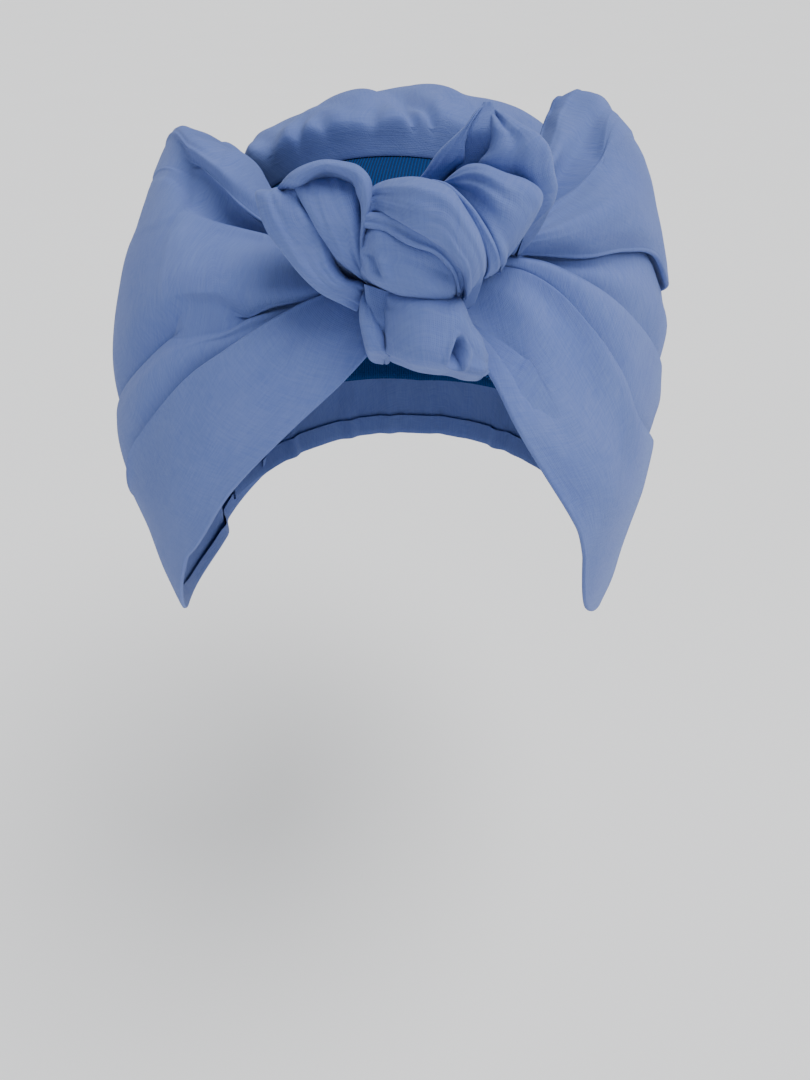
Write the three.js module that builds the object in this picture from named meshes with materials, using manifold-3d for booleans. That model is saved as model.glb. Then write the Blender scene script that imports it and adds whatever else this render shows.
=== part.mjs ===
// Turban headwrap, in millimetres, +Z up, front facing -Y.
// The origin is the inside top of the inner cap, where the head's crown meets it.
import * as THREE from 'three';
import { mergeVertices } from 'three/addons/utils/BufferGeometryUtils.js';
import Module from 'manifold-3d';

const wasm = await Module();
wasm.setup();

// Head form that the cap fits: an egg, widest at its temple level
const HEAD_WIDTH = 152;
const HEAD_LENGTH = 190;
const CROWN_RISE = 85;
const NAPE_REACH = 150;

// Cloth walls, the gaps between layers, and how a crease between two layers is rounded
const CAP_WALL = 1.5;
const CLOTH_WALL = 1.6;
const LAYER_GAP = 0.6;
const WRAP_GAP = 1.5;
const CUT_GAP = 0.35;
const CREASE_ROUND = 1.2;
const CUTTER_DEPTH = 30;

// How far the soft forms stand off the head
const CROWN_PUFF = 15;
const SIDE_PUFF = 20;
const SHIRR_DEPTH = 1.4;
const SHIRR_COUNT = 15;
const SHIRR_AT = 0.07;
const SHIRR_SPREAD = 0.063;

// Lower edge at the sides and the nape, in degrees of drop from the crown
const NAPE_DROP = 110;

// Knot: its middle on the head form, how far that stands off it, and how the knot leans back
// and turns towards +X, in degrees
const KNOT_WIDTH = 62;
const KNOT_STAND = 19;
const KNOT_AZIMUTH = 11.8;
const KNOT_DROP = 39.2;
const KNOT_TILT = 16;
const KNOT_TURN = 5.5;

// Colours, as the cloth and the knit show them
const CLOTH_COLOUR = 0x6c84ac;
const KNOT_COLOUR = 0x6a80ab;
const KNIT_COLOUR = 0x01346a;

// Faces along each form
const CAP_STEPS = { round: 28, down: 8 };
const PANEL_STEPS = { across: 24, along: 15 };
const FAN_COLUMNS = 18;
const LOBE_SIDES = 12;
const LOBE_RINGS = 12;
const WELD = 1e-4;

const DEGREE = Math.PI / 180;
const HALF_WIDTH = HEAD_WIDTH / 2;
const HALF_LENGTH = HEAD_LENGTH / 2;

function mix(from, to, share) {
  return from + (to - from) * share;
}

function smooth(share) {
  const held = Math.min(1, Math.max(0, share));
  return held * held * (3 - 2 * held);
}

// The larger of two lengths, with the crease between them rounded off
function smoothMax(one, other) {
  return (one + other + Math.hypot(one - other, CREASE_ROUND)) / 2;
}

// A smooth curve through evenly spaced values, read at a share of its length
function curveAt(values, share) {
  const last = values.length - 1;
  const place = Math.min(1, Math.max(0, share)) * last;
  const index = Math.min(last - 1, Math.floor(place));
  const t = place - index;
  const before = values[Math.max(0, index - 1)];
  const start = values[index];
  const end = values[index + 1];
  const after = values[Math.min(last, index + 2)];
  const a = 2 * start - 2 * end + (end - before) / 2 + (after - start) / 2;
  const b = -3 * start + 3 * end - (end - before) - (after - start) / 2;
  return start + t * ((end - before) / 2 + t * (b + t * a));
}

// A table of rows read smoothly at any value of its first column
function tableAt(rows, key, column, value) {
  if (value <= rows[0][key]) return rows[0][column];
  for (let i = 1; i < rows.length; i += 1) {
    if (value <= rows[i][key]) {
      const share = (value - rows[i - 1][key]) / (rows[i][key] - rows[i - 1][key]);
      return mix(rows[i - 1][column], rows[i][column], smooth(share));
    }
  }
  return rows[rows.length - 1][column];
}

// Head form: azimuth runs from the front towards +X, drop runs from the vertex down, in degrees
function headPoint(azimuth, drop, stand) {
  const lower = drop > 90 ? NAPE_REACH : CROWN_RISE;
  const side = Math.sin(drop * DEGREE);
  const rise = Math.cos(drop * DEGREE);
  const sx = side * Math.sin(azimuth * DEGREE);
  const sy = -side * Math.cos(azimuth * DEGREE);
  const point = new THREE.Vector3(HALF_WIDTH * sx, HALF_LENGTH * sy, lower * rise - CROWN_RISE);
  const normal = new THREE.Vector3(sx / HALF_WIDTH, sy / HALF_LENGTH, rise / lower).normalize();
  return point.addScaledVector(normal, stand);
}

// The same head form, read by angles that meet at the two sides, for a panel sewn over the crown
function bonnetToHead(across, over) {
  const sx = Math.sin(across * DEGREE);
  const sy = Math.cos(across * DEGREE) * Math.sin(over * DEGREE);
  const rise = Math.cos(across * DEGREE) * Math.cos(over * DEGREE);
  return {
    azimuth: Math.atan2(sx, -sy) / DEGREE,
    drop: Math.atan2(Math.hypot(sx, sy), rise) / DEGREE,
  };
}

function headToBonnet(azimuth, drop) {
  const side = Math.sin(drop * DEGREE);
  const sx = side * Math.sin(azimuth * DEGREE);
  const sy = -side * Math.cos(azimuth * DEGREE);
  return {
    across: Math.asin(Math.max(-1, Math.min(1, sx))) / DEGREE,
    over: Math.atan2(sy, Math.cos(drop * DEGREE)) / DEGREE,
  };
}

function meshGeometry(points, faces) {
  const geometry = new THREE.BufferGeometry();
  const flat = points.flatMap((point) => [point.x, point.y, point.z]);
  geometry.setAttribute('position', new THREE.Float32BufferAttribute(flat, 3));
  geometry.setIndex(faces.flat());
  return mergeVertices(geometry, WELD);
}

// A closed wall: an outer and an inner grid of points, joined all round their four edges.
// margin pushes the four edges outwards, for a cutting copy that leaves a gap.
function wallGeometry(outerAt, innerAt, rowShares, columnShares, margin = 0) {
  const rows = rowShares.length;
  const columns = columnShares.length;
  const grids = [outerAt, innerAt].map((at) => {
    const grid = rowShares.map((row) => columnShares.map((column) => at(column, row)));
    return margin > 0 ? spreadEdges(grid, margin) : grid;
  });
  const points = grids.flat(2);
  const top = rows - 1;
  const end = columns - 1;
  const out = (row, column) => row * columns + column;
  const back = (row, column) => out(row, column) + rows * columns;
  const faces = [];
  const quad = (a, b, c, d) => faces.push([a, b, c], [a, c, d]);
  for (let row = 0; row < top; row += 1) {
    for (let column = 0; column < end; column += 1) {
      quad(out(row, column), out(row, column + 1), out(row + 1, column + 1), out(row + 1, column));
      quad(back(row, column), back(row + 1, column), back(row + 1, column + 1), back(row, column + 1));
    }
    quad(out(row, 0), out(row + 1, 0), back(row + 1, 0), back(row, 0));
    quad(out(row + 1, end), out(row, end), back(row, end), back(row + 1, end));
  }
  for (let column = 0; column < end; column += 1) {
    quad(out(0, column + 1), out(0, column), back(0, column), back(0, column + 1));
    quad(out(top, column), out(top, column + 1), back(top, column + 1), back(top, column));
  }
  return meshGeometry(points, faces);
}

function spreadEdges(grid, margin) {
  const away = (edge, inside) => edge.clone().add(edge.clone().sub(inside).setLength(margin));
  const last = grid.length - 1;
  const end = grid[0].length - 1;
  const wide = grid.map((line) => {
    const copy = line.slice();
    copy[0] = away(line[0], line[1]);
    copy[end] = away(line[end], line[end - 1]);
    return copy;
  });
  const first = wide[0].map((point, i) => away(point, wide[1][i]));
  const final = wide[last].map((point, i) => away(point, wide[last - 1][i]));
  return [first, ...wide.slice(1, last), final];
}

function signedVolume(geometry) {
  const position = geometry.getAttribute('position');
  const index = geometry.getIndex().array;
  const [a, b, c] = [new THREE.Vector3(), new THREE.Vector3(), new THREE.Vector3()];
  let sum = 0;
  for (let i = 0; i < index.length; i += 3) {
    a.fromBufferAttribute(position, index[i]);
    b.fromBufferAttribute(position, index[i + 1]);
    c.fromBufferAttribute(position, index[i + 2]);
    sum += a.dot(b.cross(c)) / 6;
  }
  return sum;
}

// Turns the faces round where a form was laid out mirrored, so that they always point out
function facedOut(geometry) {
  if (signedVolume(geometry) > 0) return geometry;
  const index = geometry.getIndex();
  for (let i = 0; i < index.count; i += 3) {
    const held = index.getX(i + 1);
    index.setX(i + 1, index.getX(i + 2));
    index.setX(i + 2, held);
  }
  return geometry;
}

function solidFrom(geometry) {
  const out = facedOut(geometry);
  const vertProperties = new Float32Array(out.getAttribute('position').array);
  const triVerts = new Uint32Array(out.getIndex().array);
  return new wasm.Manifold(new wasm.Mesh({ numProp: 3, vertProperties, triVerts }));
}

function geometryFrom(solid) {
  const mesh = solid.getMesh();
  const geometry = new THREE.BufferGeometry();
  geometry.setAttribute('position', new THREE.BufferAttribute(new Float32Array(mesh.vertProperties), 3));
  geometry.setIndex(new THREE.BufferAttribute(new Uint32Array(mesh.triVerts), 1));
  return geometry;
}

// The largest piece that a cut leaves
function mainBody(solid) {
  const bodies = solid.decompose();
  return bodies.reduce((best, body) => (body.volume() > best.volume() ? body : best));
}

const evenShares = (count) => Array.from({ length: count + 1 }, (_, i) => i / count);

// Inner cap: rim drop by azimuth, the same on both sides
const CAP_RIM = [
  { azimuth: 0, drop: 41 },
  { azimuth: 25, drop: 52 },
  { azimuth: 50, drop: 74 },
  { azimuth: 80, drop: 89 },
  { azimuth: 130, drop: 98 },
  { azimuth: 180, drop: 100 },
];

function capRim(azimuth) {
  const turned = Math.abs(((azimuth + 540) % 360) - 180);
  return tableAt(CAP_RIM, 'azimuth', 'drop', turned);
}

// A dome over the head form: an outer and an inner skin that meet along its rim
function domeGeometry(rimAt, outerStand, innerStand) {
  const { round, down } = CAP_STEPS;
  const layers = [outerStand, innerStand];
  const points = layers.map((stand) => headPoint(0, 0, stand));
  layers.forEach((stand) => {
    for (let ring = 1; ring <= down; ring += 1) {
      for (let i = 0; i < round; i += 1) {
        const azimuth = (i * 360) / round;
        points.push(headPoint(azimuth, (rimAt(azimuth) * ring) / down, stand));
      }
    }
  });
  const at = (layer, ring, i) => 2 + (layer * down + ring - 1) * round + (i % round);
  const faces = [];
  for (let i = 0; i < round; i += 1) {
    faces.push([0, at(0, 1, i), at(0, 1, i + 1)], [1, at(1, 1, i + 1), at(1, 1, i)]);
    for (let ring = 1; ring < down; ring += 1) {
      const outer = [at(0, ring, i), at(0, ring + 1, i), at(0, ring + 1, i + 1), at(0, ring, i + 1)];
      const inner = [at(1, ring, i), at(1, ring, i + 1), at(1, ring + 1, i + 1), at(1, ring + 1, i)];
      [outer, inner].forEach(([a, b, c, d]) => faces.push([a, b, c], [a, c, d]));
    }
    faces.push([at(0, down, i), at(1, down, i), at(1, down, i + 1)]);
    faces.push([at(0, down, i), at(1, down, i + 1), at(0, down, i + 1)]);
  }
  return meshGeometry(points, faces);
}

// What the knot is cut back by, besides the side wraps: the cap and the head's own surface
function headCutters() {
  const clearance = (CUT_GAP * 2) / HALF_LENGTH / DEGREE;
  const cap = domeGeometry((azimuth) => capRim(azimuth) + clearance, CAP_WALL + CUT_GAP, -CUTTER_DEPTH);
  const head = domeGeometry(() => NAPE_DROP, CUT_GAP, -CUTTER_DEPTH);
  return [solidFrom(cap), solidFrom(head)];
}

// Back panel: how far it stands out along its middle line from front hem to nape, as shares of
// CROWN_PUFF, and how that fades towards its two sides
const PANEL_EDGE = { across: 63, hemMiddle: -10, hemSide: 3 };
const PANEL_PROFILE = [
  { along: 0, stand: 0.1 },
  { along: 0.05, stand: 0.32 },
  { along: 0.14, stand: 0.78 },
  { along: 0.27, stand: 1 },
  { along: 0.5, stand: 0.9 },
  { along: 0.72, stand: 0.62 },
  { along: 0.9, stand: 0.4 },
  { along: 1, stand: 0.1 },
];
const PANEL_FADE = [
  { across: 0, share: 1 },
  { across: 0.4, share: 1.12 },
  { across: 0.7, share: 1.24 },
  { across: 0.88, share: 0.9 },
  { across: 1, share: 0.55 },
];
const PANEL_LOW = CAP_WALL + LAYER_GAP + CLOTH_WALL;

function panelHem(acrossShare) {
  return mix(PANEL_EDGE.hemMiddle, PANEL_EDGE.hemSide, acrossShare * acrossShare);
}

// The nape edge follows one level of the head form, so it lies further over towards the sides
function panelNape(acrossShare) {
  const across = acrossShare * PANEL_EDGE.across * DEGREE;
  return Math.acos(Math.cos(NAPE_DROP * DEGREE) / Math.cos(across)) / DEGREE;
}

function panelStand(across, over) {
  const acrossShare = Math.min(1, Math.abs(across) / PANEL_EDGE.across);
  const hem = panelHem(acrossShare);
  const along = Math.min(1, Math.max(0, (over - hem) / (panelNape(acrossShare) - hem)));
  const fade = tableAt(PANEL_FADE, 'across', 'share', acrossShare);
  const puff = tableAt(PANEL_PROFILE, 'along', 'stand', along) * CROWN_PUFF * fade;
  const gather = Math.exp(-(((along - SHIRR_AT) / SHIRR_SPREAD) ** 2));
  const wave = Math.sin(acrossShare * SHIRR_COUNT + Math.sin(across / 10)) / 2 + 0.5;
  return PANEL_LOW + puff + SHIRR_DEPTH * gather * wave * fade;
}

function panelPoint(column, row, offset) {
  const across = mix(-1, 1, column) * PANEL_EDGE.across;
  const acrossShare = Math.abs(across) / PANEL_EDGE.across;
  const over = mix(panelHem(acrossShare), panelNape(acrossShare), row);
  const spot = bonnetToHead(across, over);
  return headPoint(spot.azimuth, spot.drop, panelStand(across, over) + offset);
}

// Rows lie closer together near the shirred hem
const PANEL_ROWS = evenShares(PANEL_STEPS.along).map((share) => (share * share + share) / 2);

function panelGeometry() {
  const outer = (column, row) => panelPoint(column, row, 0);
  const inner = (column, row) => panelPoint(column, row, -CLOTH_WALL);
  return wallGeometry(outer, inner, PANEL_ROWS, evenShares(PANEL_STEPS.across));
}

// Side wraps: each row is a line that runs from the knot round to the back, lowest line first.
// azimuth and drop are in degrees at six even steps, stand is a share of SIDE_PUFF, and crest is
// how far the cloth between this line and the next swells past them, with lean under 1 where
// the swell hangs over the lower line and over 1 where it folds over the upper one.
const LEFT_FAN = [
  { line: 'brim', azimuth: [5, -15, -34, -56, -92, -128], drop: [44, 61, 82, 103, NAPE_DROP, NAPE_DROP],
    stand: [0.25, 0.14, 0.12, 0.3, 0.3, 0.15], crest: [0.06, 0.1, 0.14, 0.1, 0.06, 0.03],
    lean: 2.2, steps: 5 },
  { line: 'band', azimuth: [-3, -23, -42, -62, -95, -128], drop: [40, 52, 67, 84, 93, 95],
    stand: [0.3, 0.28, 0.34, 0.48, 0.46, 0.3], crest: [0.05, 0.12, 0.12, 0.08, 0.06, 0.03],
    lean: 1.3, steps: 4 },
  { line: 'pleat', azimuth: [-5, -23, -42, -60, -93, -128], drop: [38, 45.5, 56, 71, 80, 82],
    stand: [0.3, 0.32, 0.42, 0.6, 0.62, 0.45], crest: [0.08, 0.22, 0.24, 0.04, 0.04, 0.04],
    lean: 0.62, steps: 7 },
  { line: 'pocket', azimuth: [-24, -46, -64, -80, -103, -128], drop: [31, 34.5, 37.5, 42, 54, 64],
    stand: [0.3, 0.42, 0.66, 1.2, 1.05, 0.7], crest: [0.05, 0.1, 0.2, 0.06, 0.04, 0.02],
    lean: 1.8, steps: 4 },
  { line: 'roll', azimuth: [-40, -62, -76, -88, -109, -128], drop: [25, 29, 32.5, 36, 48, 58],
    stand: [0.45, 0.8, 1.35, 1.25, 0.95, 0.7], crest: [0.05, 0.08, 0.06, 0.04, 0.02, 0.01],
    lean: 0.5, steps: 3 },
  { line: 'hem', azimuth: [-42, -66, -83, -94, -112, -128], drop: [22, 24.5, 28, 32, 42, 52],
    stand: [0.3, 0.4, 0.7, 0.9, 0.9, 0.8] },
];
const RIGHT_FAN = [
  { line: 'brim', azimuth: [15, 27, 38, 52, 90, 128], drop: [41, 57, 76, 99, NAPE_DROP, NAPE_DROP],
    stand: [0.3, 0.14, 0.1, 0.05, 0.06, 0.12], crest: [0.08, 0.14, 0.14, 0.06, 0.03, 0.03],
    lean: 1.5, steps: 4 },
  { line: 'low_band', azimuth: [22, 37, 46, 57, 92, 128], drop: [39, 50, 63, 81, 91, 93],
    stand: [0.34, 0.32, 0.28, 0.16, 0.12, 0.25], crest: [0.05, 0.08, 0.1, 0.08, 0.06, 0.02],
    lean: 1.8, steps: 3 },
  { line: 'high_band', azimuth: [26, 44, 54, 67, 96, 128], drop: [37, 44.5, 53, 67, 78, 80],
    stand: [0.36, 0.38, 0.4, 0.34, 0.3, 0.35], crest: [0.04, 0.08, 0.12, 0.08, 0.05, 0.02],
    lean: 1.2, steps: 4 },
  { line: 'fold', azimuth: [27, 48, 64, 80, 102, 128], drop: [35.5, 42, 47, 55, 63, 68],
    stand: [0.36, 0.44, 0.54, 0.6, 0.62, 0.5], crest: [0.02, 0.1, 0.18, 0.26, 0.14, 0.04],
    lean: 0.5, steps: 4 },
  { line: 'puff', azimuth: [28, 50, 66, 86, 106, 128], drop: [34.5, 40, 40.5, 38.5, 46, 57],
    stand: [0.4, 0.6, 0.9, 1.36, 1.15, 0.75], crest: [0.02, 0.03, 0.03, 0.02, 0.02, 0.01],
    lean: 0.5, steps: 3 },
  { line: 'pocket', azimuth: [30, 50, 68, 92, 112, 128], drop: [32, 35.5, 34.5, 34, 41, 52],
    stand: [0.32, 0.4, 0.5, 1.44, 1.2, 0.85], crest: [0.02, 0.04, 0.04, 0.03, 0.02, 0.01],
    lean: 1.6, steps: 3 },
  { line: 'ridge', azimuth: [33, 56, 76, 98, 116, 128], drop: [29, 31, 29.5, 29, 37, 47],
    stand: [0.42, 0.55, 0.75, 1.5, 1.2, 0.9], crest: [0.02, 0.04, 0.05, 0.05, 0.03, 0.01],
    lean: 0.6, steps: 3 },
  { line: 'hem', azimuth: [37, 60, 82, 102, 119, 128], drop: [25, 26, 25, 25, 32, 42],
    stand: [0.3, 0.34, 0.5, 1.2, 1.1, 0.95] },
];

// Row places run over the spans between lines: 2.4 is two fifths of the way up the third span.
// Rows are drawn a little closer together at the lines, where the folds are sharpest.
function fanRows(fan) {
  const rows = fan.slice(0, -1).flatMap(({ steps }, span) => {
    const shares = evenShares(steps).slice(0, -1);
    return shares.map((share) => span + (share + smooth(share)) / 2);
  });
  return [...rows, fan.length - 1];
}

function fanSpot(fan, column, row) {
  const span = Math.min(fan.length - 2, Math.floor(row));
  const share = row - span;
  const low = fan[span];
  const high = fan[span + 1];
  const azimuth = mix(curveAt(low.azimuth, column), curveAt(high.azimuth, column), share);
  const drop = mix(curveAt(low.drop, column), curveAt(high.drop, column), share);
  const base = mix(curveAt(low.stand, column), curveAt(high.stand, column), share);
  const swell = curveAt(low.crest, column) * Math.sin(Math.PI * share ** low.lean);
  return { azimuth, drop, stand: (base + swell) * SIDE_PUFF };
}

// The lowest that a wrap's outer face may lie over what it covers. It steps down off the cap
// and off the panel within STEP_DOWN degrees, and starts to do so STEP_AFTER past their edges.
const WRAP_LOW = CLOTH_WALL + 0.2;
const STEP_DOWN = 8;
const STEP_AFTER = 3;

function coverStand(azimuth, drop) {
  const low = mix(PANEL_LOW, WRAP_LOW, smooth((drop - capRim(azimuth) - STEP_AFTER) / STEP_DOWN));
  const { across, over } = headToBonnet(azimuth, drop);
  const pastSide = Math.abs(across) - PANEL_EDGE.across - STEP_AFTER;
  const beforeHem = PANEL_EDGE.hemMiddle - over - STEP_AFTER;
  const onPanel = (1 - smooth(pastSide / STEP_DOWN)) * (1 - smooth(beforeHem / STEP_DOWN));
  const overPanel = panelStand(across, over) + WRAP_GAP + CLOTH_WALL;
  return smoothMax(low, mix(low, overPanel, onPanel));
}

function fanPoint(fan, column, row, offset) {
  const spot = fanSpot(fan, column, row);
  const stand = smoothMax(spot.stand, coverStand(spot.azimuth, spot.drop));
  return headPoint(spot.azimuth, spot.drop, stand + offset);
}

function fanGeometry(fan) {
  const outer = (column, row) => fanPoint(fan, column, row, 0);
  const inner = (column, row) => fanPoint(fan, column, row, -CLOTH_WALL);
  return wallGeometry(outer, inner, fanRows(fan), evenShares(FAN_COLUMNS));
}

// A cutting copy of a wrap: grown by the cut gap and filled down past the head's surface
function fanCutter(fan) {
  const outer = (column, row) => fanPoint(fan, column, row, CUT_GAP);
  const inner = (column, row) => fanPoint(fan, column, row, -CUTTER_DEPTH);
  return solidFrom(wallGeometry(outer, inner, fanRows(fan), evenShares(FAN_COLUMNS), CUT_GAP));
}

// Knot lobes: each row is a section of folded cloth between its two edges, near and far, each
// given as [across, up] in the knot's own plane. front is how far the section's face stands in
// front of that plane and thick its depth. All are shares of KNOT_WIDTH.
const LOBES = {
  left_strand: [
    { near: [-0.49, 0.2], far: [-0.41, 0.21], front: 0.02, thick: 0.26 },
    { near: [-0.47, 0.08], far: [-0.37, 0.09], front: 0.07, thick: 0.3 },
    { near: [-0.43, 0], far: [-0.33, 0.01], front: 0.1, thick: 0.34 },
    { near: [-0.38, -0.08], far: [-0.28, -0.06], front: 0.1, thick: 0.36 },
    { near: [-0.31, -0.14], far: [-0.24, -0.1], front: 0.08, thick: 0.34 },
    { near: [-0.23, -0.18], far: [-0.21, -0.13], front: 0.02, thick: 0.24 },
  ],
  left_loop: [
    { near: [-0.42, 0.21], far: [-0.27, 0.28], front: 0.1, thick: 0.3 },
    { near: [-0.4, 0.17], far: [-0.18, 0.21], front: 0.17, thick: 0.4 },
    { near: [-0.38, 0.12], far: [-0.18, 0.14], front: 0.21, thick: 0.44 },
    { near: [-0.35, 0.06], far: [-0.2, 0.07], front: 0.22, thick: 0.46 },
    { near: [-0.31, -0.01], far: [-0.21, 0.01], front: 0.2, thick: 0.42 },
    { near: [-0.22, -0.1], far: [-0.19, -0.08], front: 0.12, thick: 0.26 },
  ],
  over_band: [
    { near: [-0.2, 0.18], far: [-0.2, 0.11], front: 0.14, thick: 0.45 },
    { near: [-0.13, 0.19], far: [-0.13, 0.08], front: 0.26, thick: 0.66 },
    { near: [-0.02, 0.2], far: [-0.06, 0.04], front: 0.33, thick: 0.8 },
    { near: [0.07, 0.16], far: [0, 0], front: 0.34, thick: 0.84 },
    { near: [0.15, 0.08], far: [0.05, -0.04], front: 0.3, thick: 0.78 },
    { near: [0.18, -0.01], far: [0.07, -0.09], front: 0.22, thick: 0.62 },
    { near: [0.13, -0.13], far: [0.1, -0.14], front: 0.1, thick: 0.36 },
  ],
  pleat: [
    { near: [-0.2, 0.11], far: [-0.2, 0.08], front: 0.16, thick: 0.3 },
    { near: [-0.13, 0.08], far: [-0.13, 0.04], front: 0.25, thick: 0.42 },
    { near: [-0.05, 0.04], far: [-0.07, 0.01], front: 0.3, thick: 0.5 },
    { near: [0.01, 0], far: [-0.01, -0.04], front: 0.29, thick: 0.5 },
    { near: [0.06, -0.05], far: [0.03, -0.08], front: 0.24, thick: 0.42 },
    { near: [0.09, -0.11], far: [0.06, -0.13], front: 0.14, thick: 0.24 },
  ],
  under_band: [
    { near: [-0.21, 0.07], far: [-0.21, -0.04], front: 0.12, thick: 0.44 },
    { near: [-0.15, 0.05], far: [-0.18, -0.11], front: 0.22, thick: 0.62 },
    { near: [-0.08, 0.02], far: [-0.12, -0.14], front: 0.28, thick: 0.7 },
    { near: [-0.03, -0.02], far: [-0.06, -0.15], front: 0.28, thick: 0.7 },
    { near: [0.02, -0.07], far: [0.01, -0.16], front: 0.24, thick: 0.6 },
    { near: [0.07, -0.13], far: [0.08, -0.16], front: 0.12, thick: 0.36 },
  ],
  lower_tuck: [
    { near: [-0.21, -0.16], far: [-0.23, -0.25], front: 0.06, thick: 0.4 },
    { near: [-0.16, -0.13], far: [-0.19, -0.33], front: 0.14, thick: 0.52 },
    { near: [-0.08, -0.15], far: [-0.1, -0.35], front: 0.2, thick: 0.6 },
    { near: [0.01, -0.16], far: [0, -0.37], front: 0.22, thick: 0.64 },
    { near: [0.09, -0.17], far: [0.09, -0.39], front: 0.2, thick: 0.6 },
    { near: [0.16, -0.24], far: [0.17, -0.4], front: 0.13, thick: 0.5 },
    { near: [0.21, -0.32], far: [0.21, -0.38], front: 0.03, thick: 0.32 },
  ],
  right_fold: [
    { near: [0.03, 0.18], far: [0.02, 0.2], front: 0.1, thick: 0.32 },
    { near: [0.08, 0.14], far: [0.08, 0.24], front: 0.2, thick: 0.46 },
    { near: [0.13, 0.1], far: [0.18, 0.24], front: 0.25, thick: 0.52 },
    { near: [0.16, 0.07], far: [0.28, 0.2], front: 0.24, thick: 0.52 },
    { near: [0.19, 0.03], far: [0.34, 0.14], front: 0.2, thick: 0.48 },
    { near: [0.21, -0.02], far: [0.3, 0.03], front: 0.12, thick: 0.42 },
    { near: [0.21, -0.08], far: [0.24, -0.07], front: 0.02, thick: 0.3 },
  ],
  right_loop: [
    { near: [0.01, 0.18], far: [-0.03, 0.21], front: 0.04, thick: 0.3 },
    { near: [0.06, 0.17], far: [0.04, 0.28], front: 0.1, thick: 0.42 },
    { near: [0.12, 0.17], far: [0.1, 0.35], front: 0.15, thick: 0.48 },
    { near: [0.17, 0.16], far: [0.17, 0.41], front: 0.18, thick: 0.5 },
    { near: [0.22, 0.14], far: [0.28, 0.34], front: 0.18, thick: 0.5 },
    { near: [0.26, 0.11], far: [0.37, 0.29], front: 0.15, thick: 0.48 },
    { near: [0.29, 0.07], far: [0.42, 0.18], front: 0.08, thick: 0.42 },
    { near: [0.3, 0], far: [0.37, 0.05], front: -0.02, thick: 0.3 },
  ],
};

// Open pockets in three of the lobes, cut by slim forms laid out in the same way
const POCKETS = {
  left_loop: [
    { near: [-0.38, 0.18], far: [-0.37, 0.19], front: 0.28, thick: 0.26 },
    { near: [-0.34, 0.17], far: [-0.33, 0.21], front: 0.28, thick: 0.34 },
    { near: [-0.29, 0.17], far: [-0.28, 0.22], front: 0.28, thick: 0.34 },
    { near: [-0.23, 0.19], far: [-0.23, 0.22], front: 0.28, thick: 0.2 },
  ],
  right_loop: [
    { near: [0.12, 0.23], far: [0.15, 0.23], front: 0.3, thick: 0.24 },
    { near: [0.12, 0.27], far: [0.17, 0.26], front: 0.3, thick: 0.34 },
    { near: [0.13, 0.31], far: [0.19, 0.3], front: 0.3, thick: 0.32 },
    { near: [0.16, 0.33], far: [0.19, 0.33], front: 0.3, thick: 0.22 },
  ],
  lower_tuck: [
    { near: [0.07, -0.28], far: [0.09, -0.27], front: 0.3, thick: 0.2 },
    { near: [0.08, -0.3], far: [0.1, -0.29], front: 0.3, thick: 0.26 },
    { near: [0.07, -0.32], far: [0.1, -0.32], front: 0.3, thick: 0.24 },
    { near: [0.06, -0.34], far: [0.08, -0.35], front: 0.3, thick: 0.18 },
  ],
};
// Lobe sections: 1 is a plain oval and less is fuller at its corners. The closing points reach
// a share of the last section's width past it, along the lobe's own direction there.
const LOBE_FULLNESS = 0.8;
const TIP_REACH = 0.3;
const TIP_BACK = 0.03;

const knotTilt = KNOT_TILT * DEGREE;
const knotTurn = KNOT_TURN * DEGREE;
const KNOT_ORIGIN = headPoint(KNOT_AZIMUTH, KNOT_DROP, KNOT_STAND);
const KNOT_ACROSS = new THREE.Vector3(Math.cos(knotTurn), Math.sin(knotTurn), 0);
const KNOT_OUT = new THREE.Vector3(
  Math.sin(knotTurn) * Math.cos(knotTilt),
  -Math.cos(knotTurn) * Math.cos(knotTilt),
  Math.sin(knotTilt),
);
const KNOT_UP = new THREE.Vector3().crossVectors(KNOT_OUT, KNOT_ACROSS);

function knotPoint(across, up, out) {
  return KNOT_ORIGIN.clone()
    .addScaledVector(KNOT_ACROSS, across)
    .addScaledVector(KNOT_UP, up)
    .addScaledVector(KNOT_OUT, out);
}

const fuller = (value) => Math.sign(value) * Math.abs(value) ** LOBE_FULLNESS;

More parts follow.
